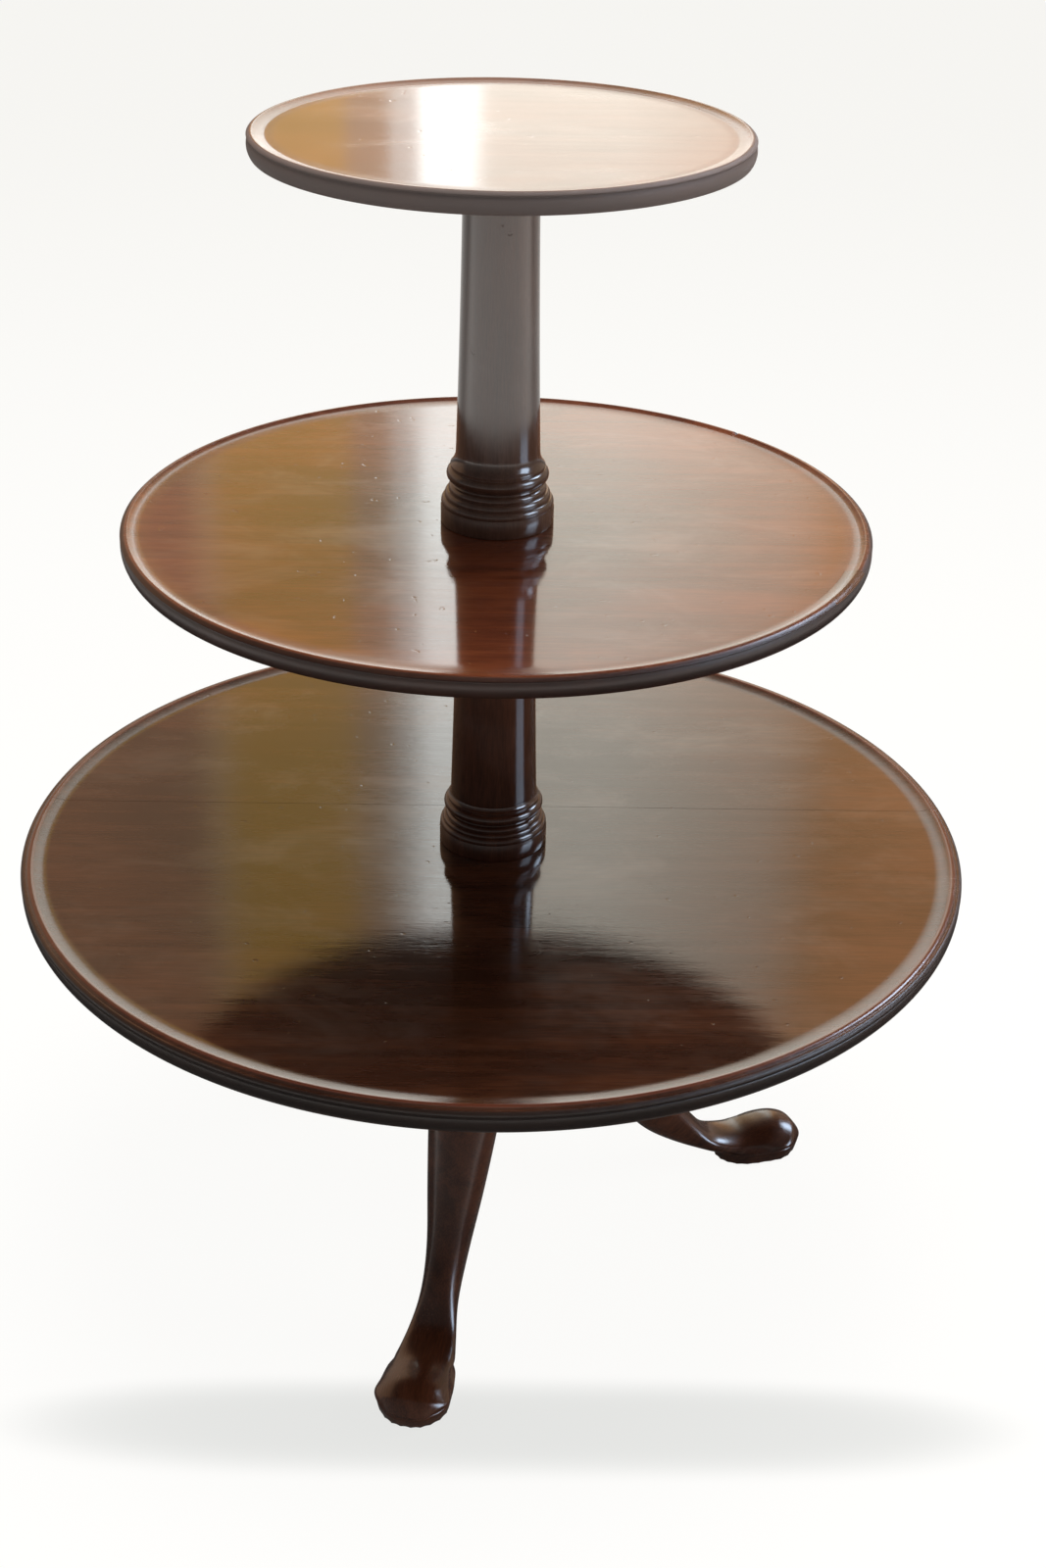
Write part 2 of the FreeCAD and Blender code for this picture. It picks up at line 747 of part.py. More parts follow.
def leg_ring(upper, lower, half_share):
    leg_top = pillar_foot.value + value("leg_root_depth")
    high = Vector(upper[0] * value("leg_reach"), 0, upper[1] * leg_top)
    low = Vector(lower[0] * value("leg_reach"), 0, lower[1] * leg_top)
    sideways = Vector(0, half_share * value("leg_width"), 0)
    return ring_points((high + low) * 0.5, (high - low) * 0.5, sideways, leg_section_power_share)


def foot_ring(level, heel_share, toe_share, half_share):
    length = value("foot_length")
    heel = value("leg_reach") - heel_share * length
    toe = value("leg_reach") - toe_share * length
    height = value("glide_height") + level * value("foot_height")
    centre = Vector((heel + toe) / 2, 0, height)
    sideways = Vector(0, half_share * value("foot_width"), 0)
    return ring_points(centre, Vector((toe - heel) / 2, 0, 0), sideways, foot_section_power_share)


# A smooth skin through closed rings of points, capped flat at both ends
def skinned_solid(rings):
    around = [step / RING_POINTS for step in range(RING_POINTS + 1)]
    curves = []
    for points in rings:
        curve = Part.BSplineCurve()
        curve.interpolate(Points=points, PeriodicFlag=True, Parameters=around)
        curves.append(curve)
    along = [step / (len(rings) - 1) for step in range(len(rings))]
    rows = []
    for poles in zip(*[curve.getPoles() for curve in curves]):
        row = Part.BSplineCurve()
        row.interpolate(Points=list(poles), Parameters=along)
        rows.append(row)
    skin = Part.BSplineSurface()
    skin.buildFromPolesMultsKnots(
        [row.getPoles() for row in rows],
        curves[0].getMultiplicities(), rows[0].getMultiplicities(),
        curves[0].getKnots(), rows[0].getKnots(),
        True, False, curves[0].Degree, rows[0].Degree,
    )
    caps = [Part.Face(Part.Wire([curve.toShape()])) for curve in (curves[0], curves[-1])]
    shell = Part.makeShell([skin.toShape()] + caps)
    shell.sewShape()
    solid = Part.makeSolid(shell)
    if solid.Volume < 0:
        solid.reverse()
    return solid


def prism(points, direction):
    return Part.Face(Part.makePolygon(points + [points[0]])).extrude(direction)


def leg_shape():
    thigh = skinned_solid([leg_ring(*station) for station in LEG_STATION_SHARES.values()])
    foot = skinned_solid([foot_ring(*level) for level in FOOT_LEVEL_SHARES.values()])
    leg = thigh.fuse(foot)
    gap = value("joint_clearance")
    leg = leg.cut(Part.makeCylinder(value("pillar_block_radius") + gap, value("lower_lip_height")))
    strap_top = pillar_foot.value
    half_strap = value("strap_width") / 2 + gap
    bend_one = Vector(value("strap_first_bend_radius"), -half_strap, strap_top)
    second_bend = strap_top - value("strap_second_bend_drop")
    bend_two = Vector(value("strap_second_bend_radius"), -half_strap, second_bend)
    end_level = strap_top - value("strap_end_drop")
    strap_end = Vector(value("strap_end_radius") + gap, -half_strap, end_level)
    seat_floor = end_level - value("strap_thickness") - value("cut_overrun")
    seat = prism(
        [Vector(0, -half_strap, strap_top), bend_one, bend_two, strap_end,
         Vector(strap_end.x, -half_strap, seat_floor), Vector(0, -half_strap, seat_floor)],
        Vector(0, 2 * half_strap, 0),
    )
    leg = leg.cut(seat)
    outer = value("pillar_block_radius") + value("dovetail_overlap")
    inner = value("dovetail_inner_radius")
    neck = value("dovetail_neck_width") / 2
    tail = value("dovetail_tail_width") / 2
    block = value("pillar_block_radius")
    tenon = prism(
        [Vector(inner, -tail, strap_top), Vector(block, -neck, strap_top), Vector(outer, -neck, strap_top),
         Vector(outer, neck, strap_top), Vector(block, neck, strap_top), Vector(inner, tail, strap_top)],
        Vector(0, 0, value("dovetail_length")),
    )
    leg = leg.fuse(tenon)
    pilot = Part.makeCylinder(
        value("screw_shank_radius") + gap,
        value("strap_screw_length") + value("cut_overrun") + gap,
        Vector(value("strap_screw_radius"), 0, strap_top - value("cut_overrun")),
    )
    return leg.cut(pilot)


leg_solid = leg_shape()
LEG_LABELS = ["front_leg", "right_leg", "back_leg"]
for number, label in enumerate(LEG_LABELS):
    leg = doc.addObject("Part::Feature", label)
    leg.Shape = leg_solid
    leg_turn = leg_start + 360 / LEG_COUNT * number
    leg.Placement = Placement(Vector(0, 0, 0), Rotation(Vector(0, 0, 1), leg_turn))


# Round glides under the soles

def glide_shape():
    place = Vector(value("leg_reach") - value("glide_inset"), 0, 0)
    glide = Part.makeCylinder(value("glide_radius"), value("glide_height"), place)
    rim = [edge for edge in glide.Edges if edge.BoundBox.ZMax < value("glide_round")]
    return glide.makeFillet(value("glide_round"), rim)


def polar_copies(shape, count, first_angle):
    copies = []
    for number in range(count):
        copy = shape.copy()
        copy.rotate(Vector(0, 0, 0), Vector(0, 0, 1), first_angle + 360 / count * number)
        copies.append(copy)
    return copies


glides = doc.addObject("Part::Feature", "foot_glides")
glides.Shape = Part.makeCompound(polar_copies(glide_shape(), LEG_COUNT, leg_start))


# Slotted wood screws, driven upward, with their heads flush underneath

def screw_shape(place, foot, length):
    shank = value("screw_shank_radius")
    head = value("screw_head_radius")
    head_depth = value("screw_head_depth")
    tip = value("screw_tip_length")
    outline = [
        Vector(0, 0, 0), Vector(head, 0, 0), Vector(shank, 0, head_depth),
        Vector(shank, 0, length - tip), Vector(0, 0, length),
    ]
    solid = Part.Face(Part.makePolygon(outline + [outline[0]])).revolve(Vector(0, 0, 0), Vector(0, 0, 1), 360)
    slot_depth = value("screw_slot_depth")
    slot_width = value("screw_slot_width")
    slot = Part.makeBox(
        2 * head + slot_width, slot_width, slot_depth + slot_width,
        Vector(-head - slot_width / 2, -slot_width / 2, -slot_width),
    )
    solid = solid.cut(slot)
    solid.translate(Vector(place, 0, foot))
    return solid


def block_screws(label, tier, count):
    foot = value(tier + "_lip_height") - value(tier + "_edge_depth") - value(tier + "_block_depth")
    length = value(tier + "_block_depth") + value("screw_bite")
    screw = screw_shape(value(tier + "_screw_circle"), foot, length)
    screws = doc.addObject("Part::Feature", label)
    screws.Shape = Part.makeCompound(polar_copies(screw, count, 180 / count))


block_screws("lower_block_screws", "lower", LOWER_SCREW_COUNT)
block_screws("middle_block_screws", "middle", SMALL_SCREW_COUNT)
block_screws("top_block_screws", "top", SMALL_SCREW_COUNT)

strap_foot = pillar_foot.value - value("joint_clearance") - value("strap_thickness")
strap_screw_length = value("strap_screw_length") + value("strap_thickness")
centre_screw = screw_shape(0, strap_foot, strap_screw_length)
arm_screw = screw_shape(value("strap_screw_radius"), strap_foot, strap_screw_length)
bracket_screws = doc.addObject("Part::Feature", "bracket_screws")
bracket_screws.Shape = Part.makeCompound([centre_screw] + polar_copies(arm_screw, LEG_COUNT, leg_start))

doc.recompute()

# Every object is sound before anything is written
PIECES = [
    "pillar", "front_leg", "right_leg", "back_leg", "foot_glides", "leg_bracket", "bracket_screws",
    "lower_tray_front_board", "lower_tray_back_board", "lower_tray_block", "lower_block_screws",
    "lower_column", "middle_tray", "middle_lip_patch", "middle_tray_block", "middle_block_screws",
    "upper_column", "top_tray", "top_tray_block", "top_block_screws",
]
for thing in doc.Objects:
    if "Invalid" in thing.State or "Error" in thing.State:
        raise RuntimeError("%s did not build: %s" % (thing.Label, thing.State))
os.makedirs("parts", exist_ok=True)
for label in PIECES:
    shape = doc.getObjectsByLabel(label)[0].Shape
    if shape.isNull() or not shape.isValid() or not shape.Solids:
        raise RuntimeError("%s has no sound solid" % label)
for label in PIECES:
    shape = doc.getObjectsByLabel(label)[0].Shape
    shape.exportStep("parts/%s.step" % label)
    print("%-24s solids %d  volume %.1f cm3" % (label, len(shape.Solids), shape.Volume / 1000))
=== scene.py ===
import math
import bpy
from mathutils import Matrix, Vector


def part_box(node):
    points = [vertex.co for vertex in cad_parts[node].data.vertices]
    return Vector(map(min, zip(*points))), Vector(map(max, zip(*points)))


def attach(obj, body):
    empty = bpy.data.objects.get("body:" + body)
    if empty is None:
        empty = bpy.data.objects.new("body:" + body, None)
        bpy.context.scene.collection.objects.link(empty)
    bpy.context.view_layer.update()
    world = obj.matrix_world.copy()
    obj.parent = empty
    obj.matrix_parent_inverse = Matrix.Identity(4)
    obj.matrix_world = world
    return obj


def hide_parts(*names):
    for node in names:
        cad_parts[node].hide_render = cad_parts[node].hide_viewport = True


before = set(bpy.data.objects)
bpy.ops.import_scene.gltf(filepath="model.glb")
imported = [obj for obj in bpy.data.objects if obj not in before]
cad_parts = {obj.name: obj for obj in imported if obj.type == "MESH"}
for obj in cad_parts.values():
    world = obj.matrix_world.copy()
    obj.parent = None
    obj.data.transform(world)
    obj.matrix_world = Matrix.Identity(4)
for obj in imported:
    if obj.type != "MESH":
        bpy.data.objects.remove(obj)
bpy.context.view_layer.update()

# PILLAR
# The turned pillar under the bottom tray, of solid mahogany. It is spun on the lathe
# with a bulb and rings, and its plain block takes the dovetails of the legs.
MM = 0.001
SMOOTH_ANGLE = math.radians(32)
SAME_POINT = 0.001 * MM
pillar_low, pillar_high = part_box("pillar")
pillar_foot = pillar_low[2]
pillar_length = pillar_high[2] - pillar_low[2]
PILLAR_SIDES = 128


def rounded(outline, arc_steps=8):
    """The outline with each arc drawn as short lines. A corner is (radius, height), and a third
    number is how far the arc to the next corner swells out, or hollows in when it is minus."""
    points = []
    for corner, follower in zip(outline, outline[1:] + [None]):
        points.append((corner[0], corner[1]))
        if len(corner) == 2 or follower is None:
            continue
        across, up, rise = follower[0] - corner[0], follower[1] - corner[1], corner[2]
        chord = math.hypot(across, up)
        radius = (chord * chord / 4 + rise * rise) / (2 * abs(rise))
        half_turn = math.asin(min(1, chord / 2 / radius))
        for step in range(1, arc_steps):
            turn = half_turn * (2 * step / arc_steps - 1)
            along = 0.5 + radius * math.sin(turn) / chord
            bulge = math.copysign(radius * (math.cos(turn) - math.cos(half_turn)), rise)
            points.append((
                corner[0] + across * along + up / chord * bulge,
                corner[1] + up * along - across / chord * bulge,
            ))
    return points


def turned(name, outline, sides, soften=0.3 * MM, sweep=2 * math.pi):
    """A single point is drawn along the outline, and the line is spun round the column's axis."""
    bpy.ops.object.select_all(action="DESELECT")
    bpy.ops.mesh.primitive_plane_add(size=10 * MM, location=(0, 0, 0))
    piece = bpy.context.object
    piece.name = name
    piece.data.name = name
    bpy.ops.object.mode_set(mode="EDIT")
    bpy.ops.mesh.merge(type="CENTER")
    bpy.ops.transform.translate(value=(outline[0][0], 0, outline[0][1]))
    for before, after in zip(outline, outline[1:]):
        step = (after[0] - before[0], 0, after[1] - before[1])
        bpy.ops.mesh.extrude_vertices_move(TRANSFORM_OT_translate={"value": step})
    bpy.ops.mesh.select_all(action="SELECT")
    bpy.ops.mesh.spin(steps=sides, angle=sweep, center=(0, 0, 0), axis=(0, 0, 1))
    bpy.ops.mesh.select_all(action="SELECT")
    bpy.ops.mesh.remove_doubles(threshold=SAME_POINT)
    bpy.ops.mesh.normals_make_consistent(inside=False)
    bpy.ops.object.mode_set(mode="OBJECT")
    soften_edges(piece, soften)
    return piece


def soften_edges(piece, width):
    """Worn arrises: a narrow bevel on every hard edge, then smooth shading."""
    if width:
        bevel = piece.modifiers.new("arris", "BEVEL")
        bevel.width = width
        bevel.segments = 2
        bevel.limit_method = "ANGLE"
        bevel.angle_limit = SMOOTH_ANGLE
        bevel.use_clamp_overlap = True
        bevel.harden_normals = False
        bpy.ops.object.modifier_apply(modifier="arris")
    bpy.ops.object.shade_smooth_by_angle(angle=SMOOTH_ANGLE)


class Wire:
    """A number or colour on its way through a shader, so that sums can be written as sums."""

    def __init__(self, finish, socket):
        self.finish = finish
        self.socket = socket

    def __add__(self, other):
        return self.finish.sum("ADD", self, other)

    __radd__ = __add__

    def __mul__(self, other):
        return self.finish.sum("MULTIPLY", self, other)

    __rmul__ = __mul__

    def __sub__(self, other):
        return self.finish.sum("SUBTRACT", self, other)

    def __rsub__(self, other):
        return self.finish.sum("SUBTRACT", other, self)

    def __truediv__(self, other):
        return self.finish.sum("DIVIDE", self, other)

    def __pow__(self, other):
        return self.finish.sum("POWER", self, other)


class Finish:
    """A material or the world, built node by node."""

    def __init__(self, owner, output):
        owner.use_nodes = True
        self.tree = owner.node_tree
        self.tree.nodes.clear()
        self.output = self.tree.nodes.new("ShaderNodeOutput" + output)

    def node(self, kind, settings=None, inputs=None, output=0):
        node = self.tree.nodes.new("ShaderNode" + kind)
        for name, value in (settings or {}).items():
            if name == "stops":
                ramp = node.color_ramp
                for place, _ in value[len(ramp.elements):]:
                    ramp.elements.new(place)
                for element, (place, colour) in zip(ramp.elements, value):
                    element.position = place
                    element.color = (*colour, 1)
            else:
                setattr(node, name, value)
        for name, value in (inputs or {}).items():
            if isinstance(value, Wire):
                self.tree.links.new(value.socket, node.inputs[name])
            else:
                node.inputs[name].default_value = value
        return Wire(self, node.outputs[output])

    def sum(self, operation, *values):
        return self.node("Math", {"operation": operation}, dict(enumerate(values)))

    def parts(self, place):
        """The three numbers of a place or a direction."""
        split = self.node("SeparateXYZ", {}, {"Vector": place})
        return [Wire(self, socket) for socket in split.socket.node.outputs]

    def noise(self, place, scale, detail, roughness=0.5, warp=0.0):
        return self.node("TexNoise", {}, {
            "Vector": place, "Scale": scale, "Detail": detail, "Roughness": roughness, "Distortion": warp,
        })

    def eased(self, value, low, high, into_low=0.0, into_high=1.0, ease="SMOOTHSTEP"):
        """The value's way from low to high, drawn as a soft way from one level to another."""
        return self.node("MapRange", {"interpolation_type": ease}, {
            "Value": value, "From Min": low, "From Max": high, "To Min": into_low, "To Max": into_high,
        })

    def toned(self, stops, value):
        """The colour that the stops give to the value."""
        return self.node("ValToRGB", {"stops": stops}, {"Fac": value})

    def tinted(self, share, under, over):
        """A colour laid over another. Share is how much of it shows."""
        under, over = [tone if isinstance(tone, Wire) else (*tone, 1) for tone in (under, over)]
        return self.node("Mix", {"data_type": "RGBA"}, {0: share, 6: under, 7: over}, output=2)

    def mixed(self, share, first, second):
        return self.node("MixShader", {}, {0: share, 1: first, 2: second})

    def show(self, wire):
        self.tree.links.new(wire.socket, self.output.inputs["Surface"])


# The near-black tone painted round the lower and middle tray rims: painted shade on their outer, down-facing
# faces.
RIM_SHADE_DARK = (0.010, 0.005, 0.0035)
RUBBED_RED = (0.11, 0.028, 0.014)


def polished_mahogany(
    name, dark, pale, turn=(0, 0, 0), grain=(1, 30, 30), gloss=0.1, ripple=0.06, painted_lit_side=None, rim=None,
    edge_tone=RIM_SHADE_DARK, edge_wear=0.2, crest=None,
):
    """French-polished mahogany. The grain runs along the pattern's X after the piece's turn,
    with ribbon figure, fine open pores, rubbed polish and a few dents. Round a tray's rim the
    outer edge is tinted towards edge_tone, by default a painted shade on its outer, down-facing
    faces, and its polish is worn rougher there. The hollow is dulled, and the crest is rubbed red
    between two insets. Where asked, the colour grows paler towards +X: painted light on that side."""
    material = bpy.data.materials.new(name)
    finish = Finish(material, "Material")
    place = finish.node("TexCoord", output="Object")
    along_grain = finish.node("Mapping", {"vector_type": "POINT"}, {"Vector": place, "Rotation": turn})

    def drawn(along, across, of_grain=True):
        """The pattern's place, drawn out along the grain or, without it, left nearly even."""
        stretch = (grain[0] * along, grain[1] * across, grain[2] * across) if of_grain else (1, across, 1)
        return finish.node("Mapping", {}, {"Vector": along_grain, "Scale": stretch})

    ribbon = finish.eased(finish.noise(drawn(1, 1), scale=3.0, detail=2.0, warp=0.6), 0.25, 0.75)
    streak = finish.eased(finish.noise(drawn(8, 9), scale=4.0, detail=3.0, roughness=0.6), 0.3, 0.7)
    pores = finish.eased(finish.noise(drawn(30, 34), scale=4.0, detail=2.0), 0.6, 0.76)
    cloudy = finish.noise(drawn(1, 1.5, False), scale=6.0, detail=3.0, roughness=0.6, warp=0.3)
    cloud = finish.eased(cloudy, 0.3, 0.72)
    tone = ribbon * 0.3 + streak * 0.28 + cloud * 0.42
    east, north = finish.parts(place)[:2]
    # Painted light: the colour grows paler towards +X, as where light falls on that side of the piece.
    if painted_lit_side:
        low, high, share = painted_lit_side
        tone = tone + finish.eased(east, low, high) * share
    deepest = tuple(channel * 0.62 for channel in dark)
    pore_tone = (dark[0] * 0.5, dark[1] * 0.45, dark[2] * 0.45)
    colour = finish.toned([(0.0, deepest), (0.38, dark), (1.0, pale)], tone)
    colour = finish.tinted(pores * 0.4, colour, pore_tone)
    edge_shade_and_wear, dulled_hollow = 0.0, 0.0
    if rim:
        reach = (east * east + north * north) ** 0.5
        # The outer rim is tinted towards edge_tone; with the dark default this is painted shade on the rim's
        # outer, down-facing faces.
        edge_shade_and_wear = finish.eased(reach + cloud * (1.5 * MM), rim - 3.2 * MM, rim - 0.8 * MM)
        colour = finish.tinted(edge_shade_and_wear * 0.85, colour, edge_tone)
        dulled_hollow = finish.eased(reach, rim - 26 * MM, rim - 15 * MM) * 0.16
    if crest:
        crest_inner, crest_outer = [rim - inset * MM for inset in crest]
        rubbed = finish.eased(reach, crest_inner, crest_inner + MM)
        rubbed = rubbed * finish.eased(reach, crest_outer - MM, crest_outer, 1.0, 0.0)
        colour = finish.tinted(rubbed * 0.7, colour, RUBBED_RED)
    rubbing = finish.noise(drawn(1, 1.6, False), scale=9.0, detail=4.0, roughness=0.65, warp=0.4)
    worn = finish.eased(rubbing, 0.45, 0.75)
    rough = gloss + worn * 0.03 + streak * 0.05 + pores * 0.02 + edge_shade_and_wear * edge_wear + dulled_hollow
    swell = finish.noise(drawn(0.8, 0.5), scale=5.0, detail=1.0)
    fine = finish.noise(drawn(14, 7), scale=5.0, detail=2.0, roughness=0.6)
    specks = finish.noise(drawn(1, 1, False), scale=130.0, detail=1.0, roughness=0.4)
    dents = finish.eased(specks, 0.73, 0.8)
    height = swell * ripple + fine * (ripple * 0.28) - dents * 0.06
    bump = finish.node("Bump", {}, {"Strength": 0.5, "Distance": 0.002, "Height": height})
    wood = finish.node("BsdfPrincipled", {}, {
        "Base Color": colour, "Roughness": rough, "Normal": bump, "IOR": 1.5,
        "Coat Weight": (worn * 0.3 + 0.12) * (1.0 - edge_shade_and_wear), "Coat Roughness": 0.36,
    })
    finish.show(wood)
    return material


def dress(piece, material, body, node):
    """The piece gets its material and moves with its body, in the place of the plain node."""
    piece.data.materials.clear()
    piece.data.materials.append(material)
    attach(piece, body)
    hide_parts(node)


block_radius, torus_radius, waist_radius = 39.0 * MM, 40.5 * MM, 33.0 * MM
bulb_radius, neck_radius, cap_radius = 38.0 * MM, 31.0 * MM, 44.0 * MM
CHAMFER = 1.5 * MM
PILLAR_SHARES = {"block": 0.576, "torus": 0.627, "waist": 0.652, "bulb": 0.746, "neck": 0.884, "cap": 0.940}
part_height = {part: pillar_foot + pillar_length * share for part, share in PILLAR_SHARES.items()}
pillar_outline = [
    (0.0, pillar_foot),
    (block_radius - CHAMFER, pillar_foot),
    (block_radius, pillar_foot + CHAMFER),
    (block_radius, part_height["block"]),
    (torus_radius, part_height["block"], 3.4 * MM),
    (torus_radius, part_height["torus"]),
    (waist_radius, part_height["waist"]),
    (bulb_radius, part_height["bulb"], 2.2 * MM),
    (neck_radius, part_height["neck"], -2.0 * MM),
    (cap_radius, part_height["cap"]),
    (cap_radius, pillar_high[2]),
    (0.0, pillar_high[2]),
]
pillar = turned("pillar_turning", rounded(pillar_outline), PILLAR_SIDES)
upright = (0, math.radians(90), 0)
pillar_polish = polished_mahogany(
    "pillar_polish", (0.040, 0.014, 0.008), (0.105, 0.040, 0.019), turn=upright, grain=(2, 26, 26), gloss=0.2,
)
dress(pillar, pillar_polish, "base", "pillar")

# LEGS
# Three cabriole legs of solid mahogany with long pad feet, spokeshaved to a rounded section
# and dovetailed into the pillar. One is shaped and the others are copies turned round the axis.
LEG_ANGLES = {"front_leg": -102.2, "right_leg": 17.8, "back_leg": 137.8}
# Each station: upper line (reach, height), lower line (reach, height), half width, in millimetres.
# The last four go round the foot's crease and down to its sole.
LEG_STATIONS = [
    ((30.2, 250.5), (30.3, 161.5), 27.3),
    ((56.0, 244.6), (52.1, 159.6), 28.8),
    ((85.7, 223.4), (67.0, 153.6), 29.3),
    ((114.7, 178.7), (81.9, 138.4), 28.6),
    ((141.6, 126.2), (108.7, 95.1), 23.2),
    ((166.5, 81.8), (139.0, 53.2), 17.0),
    ((189.0, 52.7), (172.6, 28.8), 15.6),
    ((208.5, 31.0), (203.5, 15.8), 20.0),
    ((233.0, 25.6), (216.0, 14.0), 24.2),
    ((254.0, 28.8), (217.5, 14.2), 26.6),
    ((273.0, 31.0), (217.0, 14.2), 28.0),
    ((288.5, 26.4), (216.5, 14.3), 28.8),
]
CREASE_AND_SOLE = [
    ((295.4, 16.4), (215.5, 14.6), 28.9),
    ((293.6, 14.9), (217.3, 13.6), 27.5),
    ((294.8, 13.4), (215.8, 12.4), 28.5),
    ((292.0, 3.0), (214.5, 3.0), 27.4),
]
STEPS_BETWEEN = 4
RING_ROUNDING = 0.84
RING_CORNER_STEPS = 5


def through(before, start, end, after, share):
    """A point on the smooth curve between start and end, led by the points beside them."""
    square = share * share
    cube = square * share
    return 0.5 * (
        2 * start + (end - before) * share
        + (2 * before - 5 * start + 4 * end - after) * square
        + (3 * start - before - 3 * end + after) * cube
    )


def leg_rings():
    """The stations with more rings between them, then the rings of the crease and sole."""
    flat = [(*upper, *lower, half) for upper, lower, half in LEG_STATIONS]
    rings = []
    for index in range(len(flat) - 1):
        before = flat[max(index - 1, 0)]
        after = flat[min(index + 2, len(flat) - 1)]
        for step in range(STEPS_BETWEEN):
            share = step / STEPS_BETWEEN
            rings.append([through(*four, share) for four in zip(before, flat[index], flat[index + 1], after)])
    rings.append(list(flat[-1]))
    return rings + [(*upper, *lower, half) for upper, lower, half in CREASE_AND_SOLE]


def ring_place(ring):
    """Centre, tilt, half length and half width of a ring, in metres."""
    high = Vector((ring[0], 0, ring[1])) * MM
    low = Vector((ring[2], 0, ring[3])) * MM
    across = high - low
    return (high + low) / 2, math.atan2(across.z, across.x), across.length / 2, ring[4] * MM


def carved_leg(name):
    """A rounded ring is drawn out from station to station, then smoothed, with the foot's crease kept."""
    bpy.ops.object.select_all(action="DESELECT")
    bpy.ops.mesh.primitive_plane_add(size=2, location=(0, 0, 0))
    leg = bpy.context.object
    leg.name = name
    leg.data.name = name
    bpy.ops.object.mode_set(mode="EDIT")
    bpy.ops.mesh.select_all(action="SELECT")
    bpy.ops.mesh.bevel(offset=RING_ROUNDING, segments=RING_CORNER_STEPS, profile=0.5, affect="VERTICES")
    bpy.ops.mesh.select_all(action="SELECT")
    rings = leg_rings()
    centre, tilt, length, width = ring_place(rings[0])
    bpy.ops.transform.resize(value=(length, width, 1), center_override=(0, 0, 0))
    bpy.ops.transform.rotate(value=tilt, orient_axis="Y", center_override=(0, 0, 0))
    bpy.ops.transform.translate(value=centre)
    for ring in rings[1:]:
        new_centre, new_tilt, new_length, new_width = ring_place(ring)
        growth = (new_length / length, new_width / width, 1)
        bpy.ops.mesh.extrude_region_move(TRANSFORM_OT_translate={"value": new_centre - centre})
        bpy.ops.transform.rotate(value=-tilt, orient_axis="Y", center_override=new_centre)
        bpy.ops.transform.resize(value=growth, center_override=new_centre)
        bpy.ops.transform.rotate(value=new_tilt, orient_axis="Y", center_override=new_centre)
        centre, tilt, length, width = new_centre, new_tilt, new_length, new_width
    bpy.ops.mesh.select_all(action="SELECT")
    bpy.ops.mesh.normals_make_consistent(inside=False)
    bpy.ops.object.mode_set(mode="OBJECT")
    sharpen_foot(leg)
    smooth = leg.modifiers.new("smooth", "SUBSURF")
    smooth.levels = 2
    bpy.ops.object.modifier_apply(modifier="smooth")
    spread_toe(leg)
    bpy.ops.object.shade_smooth_by_angle(angle=math.radians(45))
    return leg


def hump(value, centre, spread):
    """1 at the centre, falling softly to nothing on both sides."""
    return math.exp(-((value - centre) / spread) ** 2)


def spread_toe(leg):
    """The foot is slimmer over the instep, broader at the toe and rounder above than its rings make it.
    Its sides are moved, then its crown is let down towards them, all in millimetres along the leg."""
    crease_top, crown_blend = 15.0, 6.0
    heel, heel_blend, half_width = 215.0, 30.0, 29.0
    crown_fall = 0.55
    for vertex in leg.data.vertices:
        reach = vertex.co.x / MM
        above_crease = max(0, vertex.co.z / MM - crease_top)
        toe_swell = 0.08 * hump(reach, 274, 13)
        crown_swell = 0.11 * hump(reach, 281, 12)
        instep_waist = 0.16 * hump(reach, 240, 17)
        on_crown = min(1, above_crease / crown_blend)
        vertex.co.y *= 1 + toe_swell + on_crown * (crown_swell - instep_waist)
        on_foot = min(1, max(0, (reach - heel) / heel_blend))
        aside = min(1, abs(vertex.co.y) / (half_width * MM))
        vertex.co.z -= above_crease * crown_fall * on_foot * aside ** 2 * MM


def sharpen_foot(leg):
    """The crease round the foot and the sole's edge stay crisp under the smoothing. Levels are in
    millimetres at the heel, and the crease rises a little towards the toe."""
    sole_top, flat_enough = 3.5, 0.4
    foot_start, crease_heel, crease_slope = 210.0, 217.3, 0.017
    lips_low, lips_high, groove_low, groove_high = 12.0, 15.4, 13.2, 14.2
    sole_hold, groove_hold, lip_hold = 0.85, 0.9, 0.55
    crease = leg.data.attributes.new("crease_edge", "FLOAT", "EDGE")
    for edge in leg.data.edges:
        ends = [leg.data.vertices[index].co for index in edge.vertices]
        on_foot = min(end.x for end in ends) > foot_start * MM
        on_level = abs(ends[0].z - ends[1].z) < flat_enough * MM
        heights = [end.z / MM - (end.x / MM - crease_heel) * crease_slope for end in ends]
        if max(end.z for end in ends) < sole_top * MM:
            crease.data[edge.index].value = sole_hold
        elif on_foot and on_level and lips_low < min(heights) and max(heights) < lips_high:
            in_groove = groove_low < min(heights) and max(heights) < groove_high
            crease.data[edge.index].value = groove_hold if in_groove else lip_hold


def twin(piece, name):
    """A second piece of the same shape, with a mesh of its own."""
    copy = piece.copy()
    copy.data = piece.data.copy()
    copy.name = name
    copy.data.name = name
    bpy.context.collection.objects.link(copy)
    return copy


first_leg = carved_leg("front_leg_carving")
leg_shapes = [first_leg] + [twin(first_leg, node + "_carving") for node in list(LEG_ANGLES)[1:]]
for leg, (node, angle) in zip(leg_shapes, LEG_ANGLES.items()):
    leg.data.transform(Matrix.Rotation(math.radians(angle), 4, "Z"))
    leg_polish = polished_mahogany(
        node + "_polish", (0.045, 0.014, 0.007), (0.120, 0.038, 0.016),
        turn=(0, math.radians(42), math.radians(-angle)), grain=(2, 24, 24), gloss=0.2,
    )
    dress(leg, leg_polish, "base", node)

